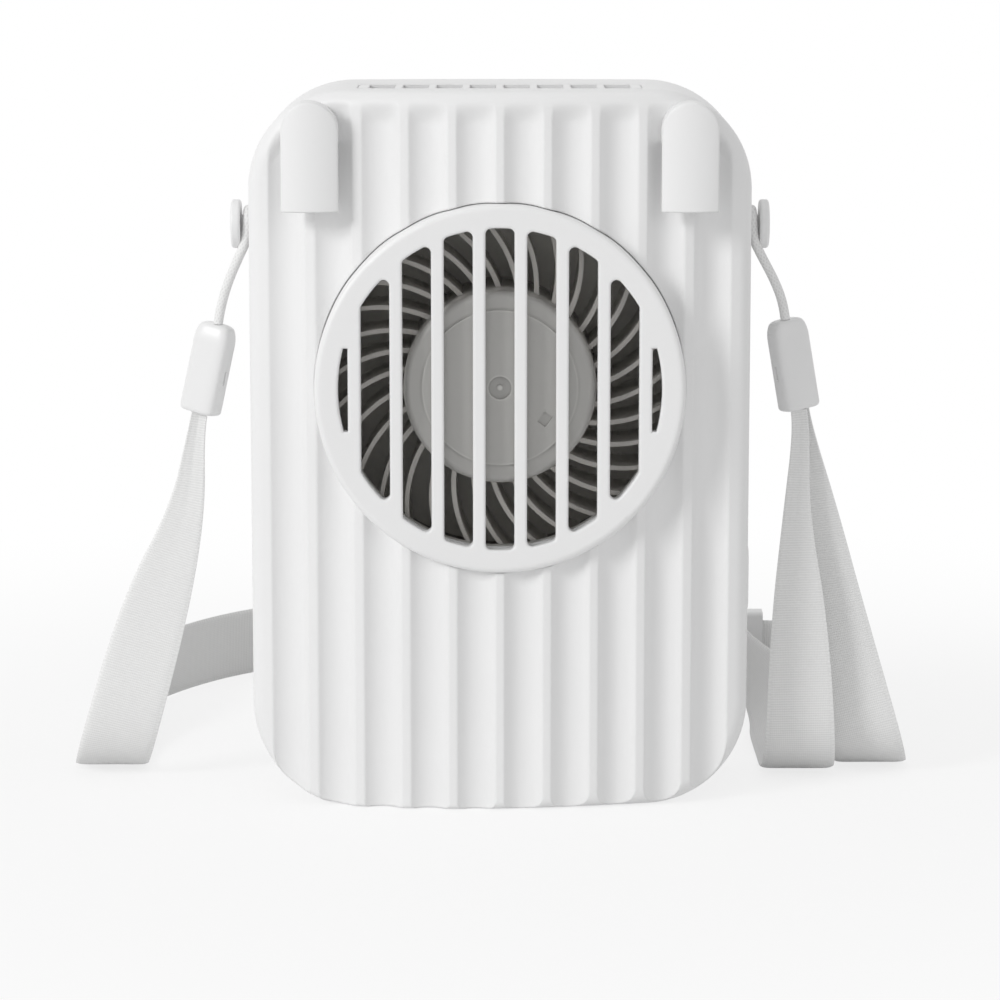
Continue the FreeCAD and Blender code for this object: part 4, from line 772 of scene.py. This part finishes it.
def channel_depth(angle, arc):
    """How far the channels lie behind an arc of the wall, at an angle from the arc's middle.

    The nearest channel's floor is a circle whose middle stands off the arc, so that the channel is as deep
    as it should be. Convex shoulders, circles that touch the floor and the arc, join it to the ridges.
    """
    radius = ((FLUTE_PITCH - RIDGE_FLAT) ** 2 / 4 + FLUTE_DEPTH ** 2) / (2 * FLUTE_DEPTH)
    span = arc + radius - FLUTE_DEPTH
    reach = arc - SHOULDER_ROUND
    along = (span ** 2 + reach ** 2 - (radius + SHOULDER_ROUND) ** 2) / (2 * span)
    crest = math.acos(along / reach)
    share = radius / (radius + SHOULDER_ROUND)
    touch = math.atan2(reach * math.sin(crest) * share, span + (along - span) * share)
    limit = (FRONT_CHANNELS - 1) / 2
    place = np.clip(np.floor(arc * np.sin(angle) / FLUTE_PITCH) + 0.5, -limit, limit)
    off = np.abs(angle - np.arcsin(place * FLUTE_PITCH / arc))
    floor = span * np.cos(off) - np.sqrt(np.maximum(radius ** 2 - (span * np.sin(off)) ** 2, 0.0))
    turn = np.minimum(off - crest, 0.0)
    rise = np.sqrt(np.maximum(SHOULDER_ROUND ** 2 - (reach * np.sin(turn)) ** 2, 0.0))
    shoulder = reach * np.cos(turn) + rise
    return np.where(off < touch, arc - floor, np.where(off < crest, arc - shoulder, 0.0))


def runout_piece(name, wall, bow, facing, material):
    """A band along the top of a fluted wall, where the channels run out: a surface over angle and drop.

    In plan the wall is an arc of radius a, and q is the distance from the arc's axis. At distance u from
    the outline the rim's round of radius r lies b = r sqrt(1 + m^2) - m (r - u) - sqrt(r^2 - (r - u)^2)
    behind the wall, with m the wall's slope across the outline: its q is found in a few passes, since u
    depends on it. The channel's floor is at q = a - c, with c the channel's depth. At drop t under the
    channels' ends the band goes from the round's q to the floor's by S(t / L), where S is the smooth step
    and L the run-out's length.
    """
    run = sizes().runout
    arc = (BODY_HALF ** 2 + bow ** 2) / (2 * bow)
    last = math.asin(FRONT_CHANNELS / 2 * FLUTE_PITCH / arc)
    angle = np.linspace(-last, last, BAND_COLUMNS)[None, :]
    cover = np.linspace(-RIM_COVER, 0.0, COVER_ROWS)[:-1]
    drop = np.concatenate([cover, np.linspace(0.0, run, BAND_ROWS)])[:, None]
    middle = BODY_TOP - CORNER_ROUND
    rim = arc + 0 * angle * drop
    for _ in range(RIM_PASSES):
        x = rim * np.sin(angle)
        over = np.maximum(np.abs(x) - (BODY_HALF - CORNER_ROUND), 0.0)
        z = middle + np.sqrt((CORNER_ROUND - RIM_BAND) ** 2 - over ** 2) - drop
        out = np.hypot(over, np.maximum(z - middle, 0.0))
        u = np.clip(CORNER_ROUND - out, 0.0, RIM_ROUND)
        flat = np.sqrt(arc ** 2 - x ** 2)
        slope = over / np.maximum(out, MM) * np.abs(x) / flat
        tilt = np.sqrt(1 + slope ** 2)
        back = RIM_ROUND * tilt - slope * (RIM_ROUND - u) - np.sqrt(RIM_ROUND ** 2 - (RIM_ROUND - u) ** 2)
        back = np.where(u < RIM_ROUND * (1 - slope / tilt), back, 0.0)
        rim = (flat - back) / np.cos(angle)
    floor = np.minimum(rim, arc - channel_depth(angle, arc))
    s = np.maximum(drop, 0.0) / run
    seen = rim + (floor - rim) * s * s * (3 - 2 * s) + BAND_PROUD
    ring = np.concatenate([seen, (floor - BAND_DEPTH)[:, ::-1]], 1)
    around = np.concatenate([angle, angle[:, ::-1]], 1)
    grid = np.stack([ring * np.sin(around), wall - facing * (arc - ring * np.cos(around)),
                     np.concatenate([z, z[:, ::-1]], 1)], -1)
    mesh = grid_mesh(name, grid, tube=True)
    return add_piece(name, mesh, material)


# Operators

class NECKFAN_OT_stage(bpy.types.Operator):
    """Pale floor, soft studio light and the camera"""
    bl_idname = "neckfan.stage"
    bl_label = "Stage"

    def lamp(self, name, place, aim, size, power):
        data = bpy.data.lights.new(name, "AREA")
        data.shape = "DISK"
        data.size = size
        data.energy = power
        lamp = bpy.data.objects.new(name, data)
        lamp.location = place
        lamp.rotation_euler = (Vector(aim) - Vector(place)).to_track_quat("-Z", "Y").to_euler()
        bpy.context.scene.collection.objects.link(lamp)

    def execute(self, context):
        scene = context.scene
        scene.view_settings.view_transform = "Standard"
        span = (-FLOOR_REACH, FLOOR_REACH)
        floor_mesh = grid_mesh("floor", np.array([[(x, y, -FLOOR_DROP) for x in span] for y in span]))
        floor = bpy.data.objects.new("floor", floor_mesh)
        scene.collection.objects.link(floor)
        floor_mesh.materials.append(pale_floor(tuple(colours().floor)))
        world = bpy.data.worlds.new("studio")
        world.use_nodes = True
        tree = world.node_tree
        back = tree.nodes["Background"]
        path = tree.nodes.new("ShaderNodeLightPath")
        seen = path.outputs["Is Camera Ray"]
        for kind in ("Is Glossy Ray", "Is Transmission Ray"):
            either = tree.nodes.new("ShaderNodeMath")
            either.operation = "MAXIMUM"
            tree.links.new(seen, either.inputs[0])
            tree.links.new(path.outputs[kind], either.inputs[1])
            seen = either.outputs[0]
        level = tree.nodes.new("ShaderNodeMapRange")
        level.inputs["To Min"].default_value = AMBIENT
        level.inputs["To Max"].default_value = 1.0
        tree.links.new(seen, level.inputs["Value"])
        back.inputs["Color"].default_value = (1.0, 1.0, 1.0, 1.0)
        tree.links.new(level.outputs["Result"], back.inputs["Strength"])
        scene.world = world
        for lamp in LAMPS:
            self.lamp(*lamp)
        data = bpy.data.cameras.new("camera")
        data.lens = CAMERA_LENS
        data.sensor_width = CAMERA_SENSOR
        data.clip_start = CAMERA_NEAR
        camera = bpy.data.objects.new("camera", data)
        camera.location = (0.0, -CAMERA_DISTANCE * math.cos(CAMERA_PITCH),
                           CAMERA_HEIGHT + CAMERA_DISTANCE * math.sin(CAMERA_PITCH))
        camera.rotation_euler = (math.pi / 2 - CAMERA_PITCH, 0.0, 0.0)
        scene.collection.objects.link(camera)
        scene.camera = camera
        return {"FINISHED"}


class NECKFAN_OT_ribbon(bpy.types.Operator):
    """Woven neck ribbon: the long run with its rolled middle, and the short run back to the slider"""
    bl_idname = "neckfan.ribbon"
    bl_label = "Neck ribbon"

    def execute(self, context):
        cloth = woven_ribbon(tuple(colours().ribbon), sizes().ribbon_width, sizes().rib_pitch)
        coil = coil_points(sizes().coil_step)
        upright = np.tile((0.0, 0.0, -1.0), (len(coil), 1))
        full = np.full(len(coil), sizes().ribbon_width)
        points = np.concatenate([LEFT_DROP, coil, RIGHT_DROP])
        across = np.concatenate([LEFT_ACROSS, upright, RIGHT_ACROSS])
        widths = np.concatenate([LEFT_WIDTHS, full, RIGHT_WIDTHS])
        piece, line, reach = ribbon_piece("neck_ribbon", points, across, widths, cloth,
                                          ("ribbon_left", "ribbon_coil", "ribbon_right"))
        back, line, reach = ribbon_piece("return_ribbon", RETURN_RUN, RETURN_ACROSS, RETURN_WIDTHS, cloth,
                                         ("ribbon_return",))
        return {"FINISHED"}


class NECKFAN_OT_loops(bpy.types.Operator):
    """Braided cord loops round the studs"""
    bl_idname = "neckfan.loops"
    bl_label = "Cord loops"

    def execute(self, context):
        braid = braided_cord(tuple(colours().ribbon), sizes().braid_pitch)
        for side, leg in (("left", LEFT_LEG), ("right", RIGHT_LEG)):
            piece, line, reach = loop_piece(side + "_loop", whole_loop(leg), braid, (side + "_cord_loop",))
        return {"FINISHED"}


class NECKFAN_OT_housing(bpy.types.Operator):
    """White housing, grilles, clips and studs, with the button and its light guide"""
    bl_idname = "neckfan.housing"
    bl_label = "Housing"

    def execute(self, context):
        white = tuple(colours().housing)
        edge = sizes().edge_round
        band = moulded_plastic("band_plastic", white, 0.42)
        runout_piece("front_runout", FRONT_WALL, FRONT_BOW, -1.0, band)
        runout_piece("back_runout", BACK_WALL, BACK_BOW, 1.0, band)
        # The collar inside the front shell's inlet is painted shade, in the duct's grey
        dress(moulded_plastic("front_plastic", white, 0.42, inlet=tuple(colours().duct), edge=edge),
              "front_shell")
        dress(moulded_plastic("housing_plastic", white, 0.42, edge=edge),
              "rear_shell", "left_clip", "right_clip")
        dress(moulded_plastic("grille_plastic", white, 0.38, grain=1700.0, edge=edge),
              "intake_grille", "outlet_grille")
        dress(moulded_plastic("button_plastic", white, 0.36, grain=2000.0),
              "power_button", "left_stud", "right_stud")
        dress(milky_plastic("light_guide"), "light_pipe")
        return {"FINISHED"}


class NECKFAN_OT_strap_fittings(bpy.types.Operator):
    """Moulded strap ends and the ribbon's slider"""
    bl_idname = "neckfan.strap_fittings"
    bl_label = "Strap fittings"

    def execute(self, context):
        gloss = moulded_plastic("strap_plastic", tuple(colours().strap_end), 0.33, grain=1100.0,
                                depth=0.000012)
        strap_end_piece("left_end", LEFT_END, -END_TWIST, 1.0, gloss, ("left_strap_end",))
        strap_end_piece("right_end", RIGHT_END, END_TWIST, -1.0, gloss, ("right_strap_end",))
        dress(gloss, "ribbon_slider")
        return {"FINISHED"}


class NECKFAN_OT_blower(bpy.types.Operator):
    """Blower wheel, scroll duct and the motor in the hub"""
    bl_idname = "neckfan.blower"
    bl_label = "Blower"

    def execute(self, context):
        dress(wheel_plastic(tuple(colours().wheel), tuple(colours().lit_blade)), "impeller")
        dress(moulded_plastic("duct_plastic", tuple(colours().duct), 0.5), "blower_scroll")
        dress(worked_metal("drawn_steel", (0.6, 0.6, 0.62), 0.32, stretch=(1.0, 0.05, 1.0)),
              "motor_shaft", "rotor_cup")
        dress(worked_metal("cast_alloy", (0.55, 0.55, 0.56), 0.45), "motor_base")
        dress(sintered_metal("ferrite", (0.06, 0.06, 0.065), 0.6, 0.2), "rotor_magnet")
        dress(sintered_metal("bearing_bronze", (0.45, 0.3, 0.16), 0.45, 0.9),
              "front_bearing", "rear_bearing")
        dress(laminated_steel("stator_sheets", (0.4, 0.4, 0.42)), "stator_core")
        dress(wound_wire("copper_wire", (0.6, 0.25, 0.1)), "stator_coils")
        return {"FINISHED"}


class NECKFAN_OT_electrics(bpy.types.Operator):
    """Boards, switch, charging port, battery, leads and screws"""
    bl_idname = "neckfan.electrics"
    bl_label = "Electrics"

    def execute(self, context):
        dress(circuit_board("board_mask", tuple(colours().board)), "control_board", "motor_board")
        dress(moulded_plastic("black_plastic", (0.03, 0.03, 0.032), 0.45),
              "board_parts", "tact_switch", "switch_plunger")
        dress(worked_metal("plated_steel", (0.62, 0.61, 0.58), 0.28),
              "charging_port", "case_screws", "motor_screws", "board_screws")
        dress(foil_wrap("pouch_foil", tuple(colours().cell)), "battery_cell")
        dress(moulded_plastic("lead_sheath", tuple(colours().lead), 0.5, grain=900.0),
              "motor_leads", "battery_leads")
        return {"FINISHED"}


class NECKFAN_PT_panel(bpy.types.Panel):
    """Lists the pieces of the neck fan"""
    bl_idname = "NECKFAN_PT_panel"
    bl_label = "Neck fan"
    bl_space_type = "VIEW_3D"
    bl_region_type = "UI"
    bl_category = "Neck fan"

    def draw(self, context):
        for operator in OPERATORS:
            self.layout.operator(operator.bl_idname)


OPERATORS = (NECKFAN_OT_stage, NECKFAN_OT_ribbon, NECKFAN_OT_strap_fittings, NECKFAN_OT_loops,
             NECKFAN_OT_housing, NECKFAN_OT_blower, NECKFAN_OT_electrics)
CLASSES = (NeckFanSizes, NeckFanColours) + OPERATORS + (NECKFAN_PT_panel,)


def register():
    for made in CLASSES:
        bpy.utils.register_class(made)
    bpy.types.Scene.neck_fan_sizes = PointerProperty(type=NeckFanSizes)
    bpy.types.Scene.neck_fan_colours = PointerProperty(type=NeckFanColours)


def unregister():
    del bpy.types.Scene.neck_fan_colours
    del bpy.types.Scene.neck_fan_sizes
    for made in reversed(CLASSES):
        bpy.utils.unregister_class(made)


def main():
    register()
    bpy.ops.neckfan.stage()
    bpy.ops.neckfan.ribbon()
    bpy.ops.neckfan.strap_fittings()
    bpy.ops.neckfan.loops()
    bpy.ops.neckfan.housing()
    bpy.ops.neckfan.blower()
    bpy.ops.neckfan.electrics()


if __name__ == "__main__":
    main()
